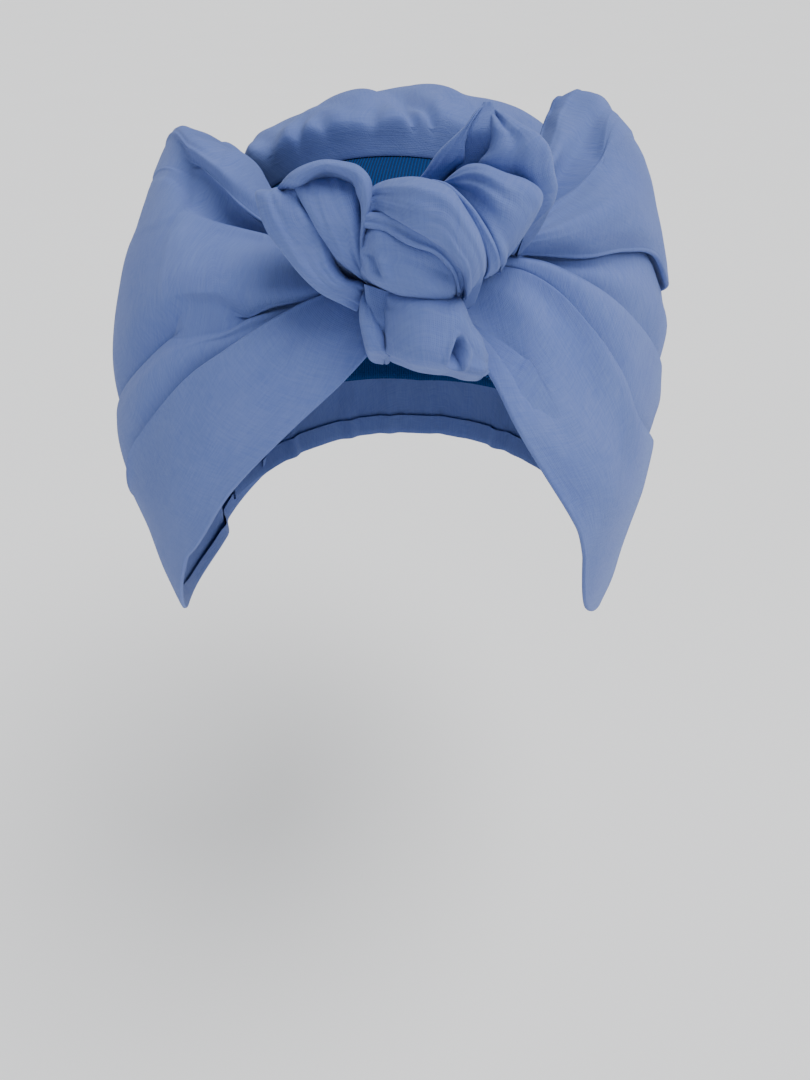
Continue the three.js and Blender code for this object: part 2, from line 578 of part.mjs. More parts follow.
// A lobe is a loft of oval sections between its two edges, closed by a point at each end
function lobeGeometry(rows, grow = 0) {
  const read = (name, share) => curveAt(rows.map((row) => row[name]), share) * KNOT_WIDTH;
  const edgeAt = (name, share) => {
    const [across, up] = [0, 1].map((axis) => curveAt(rows.map((row) => row[name][axis]), share));
    return new THREE.Vector2(across, up).multiplyScalar(KNOT_WIDTH);
  };
  const edgesAt = (share) => {
    const near = edgeAt('near', share);
    const far = edgeAt('far', share);
    return { near, far, middle: near.clone().lerp(far, 0.5) };
  };
  const points = [];
  for (let ring = 0; ring < LOBE_RINGS; ring += 1) {
    const share = ring / (LOBE_RINGS - 1);
    const { near, far, middle } = edgesAt(share);
    const half = near.distanceTo(far) / 2 + grow;
    const along = far.clone().sub(near).normalize();
    const depth = read('thick', share) / 2 + grow;
    const out = read('front', share) - read('thick', share) / 2;
    for (let i = 0; i < LOBE_SIDES; i += 1) {
      const angle = (i * 2 * Math.PI) / LOBE_SIDES;
      const wide = fuller(Math.cos(angle)) * half;
      const deep = fuller(Math.sin(angle)) * depth;
      points.push(knotPoint(middle.x + along.x * wide, middle.y + along.y * wide, out + deep));
    }
  }
  const tip = (share, inward) => {
    const here = edgesAt(share);
    const away = here.middle.clone().sub(edgesAt(share + inward).middle).normalize();
    const reach = here.near.distanceTo(here.far) * TIP_REACH + grow;
    const spot = here.middle.clone().addScaledVector(away, reach);
    return knotPoint(spot.x, spot.y, read('front', share) - read('thick', share) / 2);
  };
  const startTip = points.push(tip(0, TIP_BACK)) - 1;
  const endTip = points.push(tip(1, -TIP_BACK)) - 1;
  const at = (ring, i) => ring * LOBE_SIDES + (i % LOBE_SIDES);
  const faces = [];
  for (let i = 0; i < LOBE_SIDES; i += 1) {
    for (let ring = 0; ring < LOBE_RINGS - 1; ring += 1) {
      faces.push([at(ring, i), at(ring + 1, i), at(ring + 1, i + 1)]);
      faces.push([at(ring, i), at(ring + 1, i + 1), at(ring, i + 1)]);
    }
    faces.push([startTip, at(0, i), at(0, i + 1)]);
    faces.push([endTip, at(LOBE_RINGS - 1, i + 1), at(LOBE_RINGS - 1, i)]);
  }
  return meshGeometry(points, faces);
}

// Which lobe lies in front of which: each is cut back by the grown copy of every one before it
const LOBE_ORDER = [
  'left_loop', 'over_band', 'pleat', 'under_band',
  'lower_tuck', 'left_strand', 'right_fold', 'right_loop',
];

function knotSolids() {
  const under = [fanCutter(LEFT_FAN), fanCutter(RIGHT_FAN), ...headCutters()];
  const ahead = [];
  return LOBE_ORDER.map((name) => {
    const uncut = solidFrom(lobeGeometry(LOBES[name]));
    const cutters = [...under, ...ahead];
    if (POCKETS[name]) cutters.push(solidFrom(lobeGeometry(POCKETS[name])));
    const cut = cutters.reduce((solid, cutter) => solid.subtract(cutter), uncut);
    ahead.push(solidFrom(lobeGeometry(LOBES[name], CUT_GAP)));
    return { name: `knot_${name}`, geometry: geometryFrom(mainBody(cut)) };
  });
}

// The object

function namedMesh(name, geometry, colour, roughness) {
  const out = facedOut(geometry);
  out.computeVertexNormals();
  const material = new THREE.MeshStandardMaterial({ color: colour, roughness, metalness: 0 });
  const mesh = new THREE.Mesh(out, material);
  mesh.name = name;
  return mesh;
}

const turban = new THREE.Group();
turban.add(namedMesh('inner_cap', domeGeometry(capRim, CAP_WALL, 0), KNIT_COLOUR, 0.95));
turban.add(namedMesh('back_panel', panelGeometry(), CLOTH_COLOUR, 0.9));
turban.add(namedMesh('left_side_wrap', fanGeometry(LEFT_FAN), CLOTH_COLOUR, 0.9));
turban.add(namedMesh('right_side_wrap', fanGeometry(RIGHT_FAN), CLOTH_COLOUR, 0.9));
knotSolids().forEach(({ name, geometry }) => {
  turban.add(namedMesh(name, geometry, KNOT_COLOUR, 0.9));
});

export default turban;
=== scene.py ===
"""Turban headwrap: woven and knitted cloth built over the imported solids, in metres.

The frame is the solids' own: +Z up, the front towards -Y, the origin at the inside top of the
cap. Every cloth piece is laid out on the head form that the cap fits, from short tables.
"""

import logging
import math
from dataclasses import dataclass
from enum import Enum
from typing import Sequence

import bpy
import numpy as np
from mathutils import Matrix, Vector


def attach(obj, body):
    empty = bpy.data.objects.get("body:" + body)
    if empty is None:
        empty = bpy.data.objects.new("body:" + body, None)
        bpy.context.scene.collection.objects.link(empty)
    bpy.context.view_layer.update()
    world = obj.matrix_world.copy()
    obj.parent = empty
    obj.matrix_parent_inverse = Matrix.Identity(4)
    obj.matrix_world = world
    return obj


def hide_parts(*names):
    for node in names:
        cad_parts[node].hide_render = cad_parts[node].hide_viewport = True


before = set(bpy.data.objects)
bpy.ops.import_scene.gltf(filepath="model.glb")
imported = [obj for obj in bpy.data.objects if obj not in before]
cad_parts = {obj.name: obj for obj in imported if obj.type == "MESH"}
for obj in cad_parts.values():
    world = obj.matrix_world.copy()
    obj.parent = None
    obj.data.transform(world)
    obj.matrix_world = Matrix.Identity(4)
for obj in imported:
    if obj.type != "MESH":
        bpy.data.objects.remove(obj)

LOG = logging.getLogger("turban")
MM = 0.001


class Hold(Enum):
    """How a sheet of cloth is held in the finished wrap."""

    GATHERED = "gathered"
    FOLDED = "folded"
    STRETCHED = "stretched"


class Slot(Enum):
    """The record's material slots."""

    CLOTH = "cloth"
    KNIT = "knit"


def smooth(share: np.ndarray) -> np.ndarray:
    """Returns a share held between 0 and 1 and eased at both ends."""
    held = np.clip(share, 0.0, 1.0)
    return held * held * (3 - 2 * held)


def rise(value: np.ndarray, band: tuple[float, float]) -> np.ndarray:
    """Returns 0 below a band, 1 above it and an eased share within it."""
    return smooth((value - band[0]) / (band[1] - band[0]))


def bell(away: np.ndarray, width: float | np.ndarray) -> np.ndarray:
    """Returns 1 where nothing is away and a soft fall to 0 over a width."""
    return np.exp(-((away / width) ** 2))


def curve(values: Sequence, places: np.ndarray) -> np.ndarray:
    """Reads a smooth curve through evenly spaced values.

    Args:
        values: Two or more values or points, one for each even step.
        places: Where to read it, as shares of its length.

    Returns:
        The curve's value at each place.
    """
    rows = np.asarray(values, float)
    last = len(rows) - 1
    place = np.clip(np.asarray(places, float), 0, 1) * last
    index = np.minimum(place.astype(int), last - 1)
    t = (place - index).reshape(place.shape + (1,) * (rows.ndim - 1))
    before, start = rows[np.maximum(index - 1, 0)], rows[index]
    end, after = rows[index + 1], rows[np.minimum(index + 2, last)]
    rise = (end - before) / 2
    a = 2 * start - 2 * end + rise + (after - start) / 2
    b = -3 * start + 3 * end - 2 * rise - (after - start) / 2
    return start + t * (rise + t * (b + t * a))


def shaped(keys: Sequence[float], values: Sequence[float], at: np.ndarray) -> np.ndarray:
    """Reads a table whose keys lie at uneven steps, as a smooth curve that never overshoots.

    Args:
        keys: The rows' keys, rising.
        values: The rows' values.
        at: Where to read it.

    Returns:
        The table's value at each place.
    """
    k, v = np.asarray(keys, float), np.asarray(values, float)
    step = np.diff(k)
    slope = np.diff(v) / step
    product = slope[:-1] * slope[1:]
    total = np.where(product > 0, slope[:-1] + slope[1:], 1.0)
    inner = np.where(product > 0, 2 * product / total, 0.0)
    tangent = np.concatenate([slope[:1], inner, slope[-1:]])
    index = np.clip(np.searchsorted(k, at, side="right") - 1, 0, len(k) - 2)
    width = step[index]
    t = np.clip((at - k[index]) / width, 0, 1)
    rise = v[index + 1] - v[index]
    start, end = tangent[index] * width, tangent[index + 1] * width
    return v[index] + t * (start + t * (3 * rise - 2 * start - end + t * (start + end - 2 * rise)))


def noise(x: np.ndarray, y: np.ndarray, seed: int) -> np.ndarray:
    """Makes soft random relief that is the same at every run.

    Args:
        x: Places across, in cells of the relief.
        y: Places along, in cells of the relief.
        seed: Which relief to use.

    Returns:
        Values from about -1 to 1.
    """
    size = 64
    grid = np.random.default_rng(seed).uniform(-1, 1, (size, size))
    xi, yi = np.floor(x).astype(int), np.floor(y).astype(int)
    tx, ty = smooth(x - xi), smooth(y - yi)
    low = grid[yi % size, xi % size] * (1 - tx) + grid[yi % size, (xi + 1) % size] * tx
    up = grid[(yi + 1) % size, xi % size] * (1 - tx)
    up = up + grid[(yi + 1) % size, (xi + 1) % size] * tx
    return low * (1 - ty) + up * ty


@dataclass(frozen=True)
class Ripple:
    """Soft random relief: a cell's two sizes, a height, where it is read and how it slants."""

    cell: tuple[float, float]
    seed: int
    height: float
    shift: tuple[float, float] = (0, 0)
    slant: float = 0

    def read(self, x: np.ndarray, y: np.ndarray, seed: int = 0) -> np.ndarray:
        """Reads the relief.

        Args:
            x: Places across, in the cell's own units.
            y: Places along, in the cell's own units.
            seed: Which of its kind to use.

        Returns:
            The relief's height.
        """
        first = x / self.cell[0] + self.shift[0] + y * self.slant
        return noise(first, y / self.cell[1] + self.shift[1], self.seed + seed) * self.height


def smooth_max(one: np.ndarray, other: np.ndarray, blend: float = 1.2 * MM) -> np.ndarray:
    """Takes the larger of two lengths, with the crease between them rounded off.

    Args:
        one: The first length.
        other: The second length.
        blend: How wide the rounding is.

    Returns:
        The rounded maximum.
    """
    return (one + other + np.hypot(one - other, blend)) / 2


def unit(vectors: np.ndarray) -> np.ndarray:
    """Returns the vectors at length one."""
    return vectors / np.maximum(np.linalg.norm(vectors, axis=-1, keepdims=True), 1e-12)


def steps_along(points: np.ndarray, axis: int) -> np.ndarray:
    """Measures how far along a grid each point lies.

    Args:
        points: A grid of points.
        axis: The grid's axis to measure along.

    Returns:
        The distance from the first row or column, in metres.
    """
    lengths = np.linalg.norm(np.diff(points, axis=axis), axis=-1)
    pad = [(0, 0), (0, 0)]
    pad[axis] = (1, 0)
    return np.cumsum(np.pad(lengths, pad), axis=axis)


def grid_object(
    name: str, points: np.ndarray, closed: bool = False, weave: np.ndarray | None = None
) -> bpy.types.Object:
    """Makes a smooth sheet from a grid of points.

    Args:
        name: The piece's name.
        points: The grid, rows by columns by three.
        closed: Whether the last column joins the first one.
        weave: Where each point lies in the flat cloth; rows and columns run along its threads
            if none is given.

    Returns:
        The new object, in the scene.
    """
    rows, columns = points.shape[:2]
    if weave is None:
        weave = np.stack([steps_along(points, 1), steps_along(points, 0)], axis=-1)
    spans = columns if closed else columns - 1
    r, c = np.meshgrid(np.arange(rows - 1), np.arange(spans), indexing="ij")
    right = (c + 1) % columns
    quads = np.stack(
        [r * columns + c, r * columns + right, (r + 1) * columns + right, (r + 1) * columns + c],
        axis=-1,
    ).reshape(-1, 4)
    mesh = bpy.data.meshes.new(name)
    mesh.vertices.add(rows * columns)
    mesh.vertices.foreach_set("co", points.reshape(-1).astype(np.float32))
    mesh.loops.add(quads.size)
    mesh.loops.foreach_set("vertex_index", quads.reshape(-1).astype(np.int32))
    mesh.polygons.add(len(quads))
    mesh.polygons.foreach_set("loop_start", np.arange(0, quads.size, 4, dtype=np.int32))
    mesh.polygons.foreach_set("use_smooth", np.ones(len(quads), bool))
    mesh.update(calc_edges=True)
    flat = weave.reshape(-1, 2)[quads.reshape(-1)].reshape(-1)
    mesh.uv_layers.new(name="weave").data.foreach_set("uv", flat.astype(np.float32))
    mesh.validate()
    piece = bpy.data.objects.new(name, mesh)
    bpy.context.scene.collection.objects.link(piece)
    return piece


def joined(name: str, parts: list[bpy.types.Object]) -> bpy.types.Object:
    """Joins several sheets into one piece.

    Args:
        name: The piece's name.
        parts: The sheets; the first one is kept.

    Returns:
        The joined piece.
    """
    bpy.ops.object.select_all(action="DESELECT")
    for part in parts:
        part.select_set(True)
    bpy.context.view_layer.objects.active = parts[0]
    if len(parts) > 1:
        bpy.ops.object.join()
    parts[0].name = name
    parts[0].data.name = name
    return parts[0]


@dataclass(frozen=True)
class HeadForm:
    """The head that the cap fits: an egg, widest at its temple level.

    Azimuth runs from the front towards +X and drop runs from the vertex down, in degrees.
    """

    width: float = 152 * MM
    length: float = 190 * MM
    crown_rise: float = 85 * MM
    nape_reach: float = 150 * MM

    def spot(
        self, azimuth: np.ndarray, drop: np.ndarray, stand: np.ndarray
    ) -> tuple[np.ndarray, np.ndarray]:
        """Finds points that stand off the head.

        Args:
            azimuth: Turn from the front, in degrees.
            drop: Drop from the vertex, in degrees.
            stand: Distance off the head, in metres.

        Returns:
            The points and the head's outward normals there.
        """
        lower = np.where(drop > 90, self.nape_reach, self.crown_rise)
        side, rise = np.sin(np.radians(drop)), np.cos(np.radians(drop))
        sx, sy = side * np.sin(np.radians(azimuth)), -side * np.cos(np.radians(azimuth))
        half_w, half_l = self.width / 2, self.length / 2
        point = np.stack([half_w * sx, half_l * sy, lower * rise - self.crown_rise], axis=-1)
        normal = unit(np.stack([sx / half_w, sy / half_l, rise / lower], axis=-1))
        return point + normal * np.asarray(stand)[..., None], normal

    def from_bonnet(self, across: np.ndarray, over: np.ndarray) -> tuple[np.ndarray, np.ndarray]:
        """Turns a panel's own angles into azimuth and drop.

        Args:
            across: Degrees from the middle line towards +X.
            over: Degrees from the vertex towards the nape.

        Returns:
            Azimuth and drop, in degrees.
        """
        a, o = np.radians(across), np.radians(over)
        sx, sy, rise = np.sin(a), np.cos(a) * np.sin(o), np.cos(a) * np.cos(o)
        return np.degrees(np.arctan2(sx, -sy)), np.degrees(np.arctan2(np.hypot(sx, sy), rise))

    def to_bonnet(self, azimuth: np.ndarray, drop: np.ndarray) -> tuple[np.ndarray, np.ndarray]:
        """Turns azimuth and drop into a panel's own angles.

        Args:
            azimuth: Turn from the front, in degrees.
            drop: Drop from the vertex, in degrees.

        Returns:
            Across and over, in degrees.
        """
        a, d = np.radians(azimuth), np.radians(drop)
        sx, sy = np.sin(d) * np.sin(a), -np.sin(d) * np.cos(a)
        across = np.degrees(np.arcsin(np.clip(sx, -1, 1)))
        return across, np.degrees(np.arctan2(sy, np.cos(d)))


HEM_TURN = ((0.35, -0.12), (0.5, -0.5), (0.35, -0.88), (0.0, -1.0))
HEM_STEPS = (0.3, 0.7, 1.0)


def turned_in(
    points: np.ndarray,
    normals: np.ndarray,
    axis: int,
    end: int,
    depth: float | np.ndarray,
    wall: float,
) -> tuple[np.ndarray, np.ndarray]:
    """Turns one edge of a grid of cloth in on itself, as a hem.

    Args:
        points: The grid of points.
        normals: The outward normals of the grid.
        axis: 0 for the first or last row, 1 for the first or last column.
        end: 0 for the first one, -1 for the last one.
        depth: How far the hem is turned in, once or for each point of the edge.
        wall: How thick the turned hem is.

    Returns:
        The wider grids of points and normals.
    """
    p, n = np.moveaxis(points, axis, 0), np.moveaxis(normals, axis, 0)
    edge, inside = (p[0], p[2]) if end == 0 else (p[-1], p[-3])
    out = unit(edge - inside)
    up = n[0] if end == 0 else n[-1]
    rows = [edge + wall * (a * out + b * up) for a, b in HEM_TURN]
    rows += [edge - share * depth * out - wall * up for share in HEM_STEPS]
    hem = np.stack(rows)
    lifted = np.repeat(up[None], len(rows), axis=0)
    if end == 0:
        p, n = np.concatenate([hem[::-1], p]), np.concatenate([lifted, n])
    else:
        p, n = np.concatenate([p, hem]), np.concatenate([n, lifted])
    return np.moveaxis(p, 0, axis), np.moveaxis(n, 0, axis)


class Nodes:
    """A short way to write a material's nodes."""

    def __init__(self, name: str) -> None:
        """Starts a material with a principled surface.

        Args:
            name: The material's name.
        """
        self.material = bpy.data.materials.new(name)
        self.material.use_nodes = True
        self.tree = self.material.node_tree
        self.surface = self.tree.nodes["Principled BSDF"]

    def add(self, kind: str, **sockets: object) -> bpy.types.Node:
        """Adds a node and sets or links its inputs.

        Args:
            kind: The node's type name.
            **sockets: An input's value or another node's output, by name with _ for a space;
                names that aren't inputs are set on the node itself.

        Returns:
            The new node.
        """
        node = self.tree.nodes.new(kind)
        for key, value in sockets.items():
            name = key.replace("_", " ")
            if name in node.inputs:
                self.put(node.inputs[name], value)
            else:
                setattr(node, key, value)
        return node

    def put(self, socket: bpy.types.NodeSocket, value: object) -> None:
        """Links an output to a socket, or sets its value.

        Args:
            socket: The input socket.
            value: Another node's output, or a plain value.
        """
        if isinstance(value, bpy.types.NodeSocket):
            self.tree.links.new(value, socket)
        else:
            socket.default_value = value

    def maths(self, operation: str, *values: object) -> bpy.types.NodeSocket:
        """Adds a sum of one or two values.

        Args:
            operation: The node's operation.
            *values: Outputs or numbers.

        Returns:
            Its output.
        """
        node = self.tree.nodes.new("ShaderNodeMath")
        node.operation = operation
        for socket, value in zip(node.inputs, values):
            self.put(socket, value)
        return node.outputs[0]

    def wave(self, along: bpy.types.NodeSocket, pitch: float) -> bpy.types.NodeSocket:
        """Makes a ridge that repeats along one coordinate.

        Args:
            along: The coordinate, in metres.
            pitch: The repeat, in metres.

        Returns:
            A value from -1 to 1.
        """
        return self.maths("SINE", self.maths("MULTIPLY", along, 2 * math.pi / pitch))

    def noise(
        self, vector: bpy.types.NodeSocket, scale: float, detail: float
    ) -> bpy.types.NodeSocket:
        """Adds a noise texture.

        Args:
            vector: Where it is read.
            scale: Its cells per metre.
            detail: Its octaves.

        Returns:
            Its value output.
        """
        node = self.add("ShaderNodeTexNoise", Vector=vector, Scale=scale, Detail=detail)
        return node.outputs[0]

    def ranged(
        self, value: bpy.types.NodeSocket, span: tuple[float, float], to: tuple[float, float]
    ) -> bpy.types.NodeSocket:
        """Maps a value from one range to another.

        Args:
            value: The value.
            span: The range it comes from.
            to: The range it goes to.

        Returns:
            The mapped value, held within its range.
        """
        ends = {"From_Min": span[0], "From_Max": span[1], "To_Min": to[0], "To_Max": to[1]}
        return self.add("ShaderNodeMapRange", Value=value, **ends).outputs[0]

    def bump(
        self, height: bpy.types.NodeSocket, relief: float, strength: float, **sockets: object
    ) -> bpy.types.NodeSocket:
        """Adds a bump.

        Args:
            height: Its height, from 0 to 1.
            relief: How high 1 is, in metres.
            strength: How far it shows.
            **sockets: The normal that it lies on, if there is one below it.

        Returns:
            The new normal.
        """
        values = {"Height": height, "Distance": relief, "Strength": strength}
        return self.add("ShaderNodeBump", **values, **sockets).outputs[0]

    def dress(self, **inputs: object) -> bpy.types.Material:
        """Sets the surface's inputs.

        Args:
            **inputs: An input's value or another node's output, by name with _ for a space.

        Returns:
            The finished material.
        """
        for name, value in inputs.items():
            self.put(self.surface.inputs[name.replace("_", " ")], value)
        return self.material

    def blend(self, share: object, low: tuple, high: tuple) -> bpy.types.NodeSocket:
        """Mixes two colours.

        Args:
            share: How much of the second one.
            low: The first colour, or an output.
            high: The second colour, or an output.

        Returns:
            The mixed colour.
        """
        node = self.tree.nodes.new("ShaderNodeMix")
        node.data_type = "RGBA"
        self.put(node.inputs["Factor"], share)
        for name, value in (("A", low), ("B", high)):
            socket = [s for s in node.inputs if s.name == name and s.type == "RGBA"][0]
            self.put(socket, (*value, 1.0) if isinstance(value, tuple) else value)
        return [s for s in node.outputs if s.type == "RGBA"][0]


@dataclass(frozen=True)
class WovenCotton:
    """Soft plain-woven cotton: two thread directions, slubs, a faint bloom and creasing wear.

    Cells are counted per metre, and spans are the parts of a noise that are used.
    """

    name: str = "woven_cotton"
    base: tuple[float, float, float] = (0.108, 0.16, 0.43)
    worn: tuple[float, float, float] = (0.145, 0.205, 0.48)
    thread: float = 0.42 * MM
    thread_relief: float = 0.08 * MM
    thread_strength: float = 0.8
    cloth_relief: float = 0.25 * MM
    cloth_strength: float = 0.5
    slub_cells: tuple[float, float] = (1600, 160)
    slub_shade: float = 0.36
    broad_cells: float = 55
    broad_detail: float = 4
    broad_shade: float = 0.4
    shade_span: tuple[float, float] = (0.4, 0.75)
    fine_cells: float = 420
    fine_span: tuple[float, float] = (0.3, 0.7)
    cloth_cells: float = 160
    detail: float = 3
    roughness: tuple[float, float] = (0.8, 0.95)
    gloss: float = 0.18
    sheen: float = 0.12
    sheen_roughness: float = 0.45
    sheen_tint: tuple[float, float, float, float] = (0.75, 0.85, 1.0, 1.0)

    def make(self) -> bpy.types.Material:
        """Builds the material.

        Returns:
            The material.
        """
        n = Nodes(self.name)
        weave = n.add("ShaderNodeUVMap", uv_map="weave").outputs[0]
        place = n.add("ShaderNodeTexCoord").outputs["Object"]
        across, along = n.add("ShaderNodeSeparateXYZ", Vector=weave).outputs[:2]
        warp = n.maths("ABSOLUTE", n.wave(across, self.thread * 2))
        weft = n.maths("ABSOLUTE", n.wave(along, self.thread * 2))
        threads = n.maths("MAXIMUM", warp, weft)
        many, few = self.slub_cells
        slub = n.maths("ADD", self.drawn(n, weave, many, few), self.drawn(n, weave, few, many))
        broad = n.noise(place, self.broad_cells, self.broad_detail)
        broad = n.maths("MULTIPLY", broad, self.broad_shade)
        shade = n.maths("ADD", broad, n.maths("MULTIPLY", slub, self.slub_shade))
        share = n.ranged(shade, self.shade_span, (0, 1))
        fine = n.noise(place, self.fine_cells, self.detail)
        threads = n.maths("ADD", threads, slub)
        woven = n.bump(threads, self.thread_relief, self.thread_strength)
        creased = n.noise(place, self.cloth_cells, self.detail)
        return n.dress(
            Base_Color=n.blend(share, self.base, self.worn),
            Roughness=n.ranged(fine, self.fine_span, self.roughness),
            Specular_IOR_Level=self.gloss,
            Sheen_Weight=self.sheen,
            Sheen_Roughness=self.sheen_roughness,
            Sheen_Tint=self.sheen_tint,
            Normal=n.bump(creased, self.cloth_relief, self.cloth_strength, Normal=woven),
        )

    @staticmethod
    def drawn(
        n: Nodes, weave: bpy.types.NodeSocket, across: float, along: float
    ) -> bpy.types.NodeSocket:
        """Adds noise drawn out along one thread direction.

        Args:
            n: The material's nodes.
            weave: The weave's coordinates.
            across: Cells per metre across the cloth.
            along: Cells per metre along it.

        Returns:
            The noise value.
        """
        scaled = n.add("ShaderNodeMapping", Vector=weave, Scale=(across, along, 1)).outputs[0]
        return n.noise(scaled, 1, 1)


@dataclass(frozen=True)
class RibbedKnit:
    """Deep blue-green ribbed knit: narrow ribs with shade between them and a soft surface."""

    name: str = "ribbed_knit"
    rib: tuple[float, float, float] = (0.001, 0.046, 0.2)
    # colour painted into the hollows between ribs as shade, darker than the ribs themselves
    valley: tuple[float, float, float] = (0.0, 0.022, 0.11)
    pitch: float = 0.82 * MM
    stitch: float = 0.7
    stitch_height: float = 0.22
    fuzz_cells: float = 900
    fuzz_detail: float = 3
    fuzz_height: float = 0.5
    fuzz_span: tuple[float, float] = (0.3, 0.7)
    shade_span: tuple[float, float] = (-0.9, 1.1)
    relief: float = 0.25 * MM
    strength: float = 0.9
    roughness: tuple[float, float] = (0.85, 1.0)
    gloss: float = 0.08
    sheen: float = 0.03

    def make(self) -> bpy.types.Material:
        """Builds the material.

        Returns:
            The material.
        """
        n = Nodes(self.name)
        weave = n.add("ShaderNodeUVMap", uv_map="weave").outputs[0]
        across, along = n.add("ShaderNodeSeparateXYZ", Vector=weave).outputs[:2]
        ridge = n.wave(across, self.pitch)
        stitch = n.wave(along, self.pitch * self.stitch)
        place = n.add("ShaderNodeTexCoord").outputs["Object"]
        fuzz = n.noise(place, self.fuzz_cells, self.fuzz_detail)
        height = n.maths("ADD", ridge, n.maths("MULTIPLY", stitch, self.stitch_height))
        height = n.maths("ADD", height, n.maths("MULTIPLY", fuzz, self.fuzz_height))
        # painted shade: the colour darkens towards the valley colour where the rib and stitch relief
        # is low, with random fuzz tone mixed in
        share = n.ranged(height, self.shade_span, (0, 1))
        return n.dress(
            Base_Color=n.blend(share, self.valley, self.rib),
            Roughness=n.ranged(fuzz, self.fuzz_span, self.roughness),
            Specular_IOR_Level=self.gloss,
            Sheen_Weight=self.sheen,
            Normal=n.bump(height, self.relief, self.strength),
        )


@dataclass(frozen=True)
class Wardrobe:
    """The finishes, each made once."""

    cotton: bpy.types.Material
    knit: bpy.types.Material

    @classmethod
    def made(cls) -> "Wardrobe":
        """Makes every finish."""
        return cls(WovenCotton().make(), RibbedKnit().make())

    def of(self, slot: Slot) -> bpy.types.Material:
        """Returns a slot's finish."""
        return self.knit if slot is Slot.KNIT else self.cotton


@dataclass(frozen=True)
class Sheet:
    """A cloth piece's sheet: its node, flat size, hold, slot and what is under it."""

    node: str
    flat: tuple[float, float]
    held: Hold
    rests_on: tuple[str, ...] = ()
    slot: Slot = Slot.CLOTH

    @property
    def name(self) -> str:
        """Returns the piece's name."""
        return f"{self.node}_{self.slot.value}"

    def declare(self, piece: bpy.types.Object, wardrobe: Wardrobe) -> bpy.types.Object:
        """Gives a piece the finish of its slot, attaches it to the root body and hides the solid it
        stands for.

        Args:
            piece: The piece.
            wardrobe: The finishes.

        Returns:
            The piece.
        """
        piece.data.materials.clear()
        piece.data.materials.append(wardrobe.of(self.slot))
        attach(piece, "root")
        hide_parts(self.node)
        return piece


@dataclass(frozen=True)
class InnerCap:
    """The ribbed knit cap: two skins over the head form that meet along a turned rim.

    vertex_share keeps the first row just off the vertex, as a share of the way to the rim.
    """

    head: HeadForm
    wall: float = 1.5 * MM
    clearance: float = 0.1 * MM
    rim_azimuth: tuple[float, ...] = (0, 25, 50, 80, 130, 180)
    rim_drop: tuple[float, ...] = (41, 52, 74, 89, 98, 100)
    vertex_share: float = 0.004
    round_steps: int = 180
    down_steps: int = 90
    sheet: Sheet = Sheet("inner_cap", (0.235, 0.17), Hold.STRETCHED, slot=Slot.KNIT)

    def rim(self, azimuth: np.ndarray) -> np.ndarray:
        """Returns the rim's drop at an azimuth, in degrees."""
        turned = np.abs(np.mod(azimuth + 180, 360) - 180)
        return shaped(self.rim_azimuth, self.rim_drop, turned)

    def build(self, wardrobe: Wardrobe) -> bpy.types.Object:
        """Builds the cap and lays its ribs from front to back.

        Args:
            wardrobe: The finishes.

        Returns:
            The piece.
        """
        azimuth = np.arange(self.round_steps) * 360 / self.round_steps
        shares = np.linspace(self.vertex_share, 1, self.down_steps)
        drop = self.rim(azimuth)[None] * shares[:, None]
        turn = np.broadcast_to(azimuth[None], drop.shape)
        outer, _ = self.head.spot(turn, drop, np.full(drop.shape, self.wall))
        inner, _ = self.head.spot(turn, drop, np.full(drop.shape, self.clearance))
        across, over = self.head.to_bonnet(turn, drop)
        wide = np.radians(across) * self.head.width / 2
        long = np.radians(over) * self.head.length / 2
        ribs = np.stack([wide, long], axis=-1)
        points = np.concatenate([outer, inner[::-1]])
        weave = np.concatenate([ribs, ribs[::-1]])
        piece = grid_object(self.sheet.name, points, closed=True, weave=weave)
        return self.sheet.declare(piece, wardrobe)


@dataclass(frozen=True)
class Gather:
    """A valley that runs back from the shirred hem; across and width are in degrees."""

    across: float
    width: float
    depth: float
    reach: float
    drift: float = 0.0


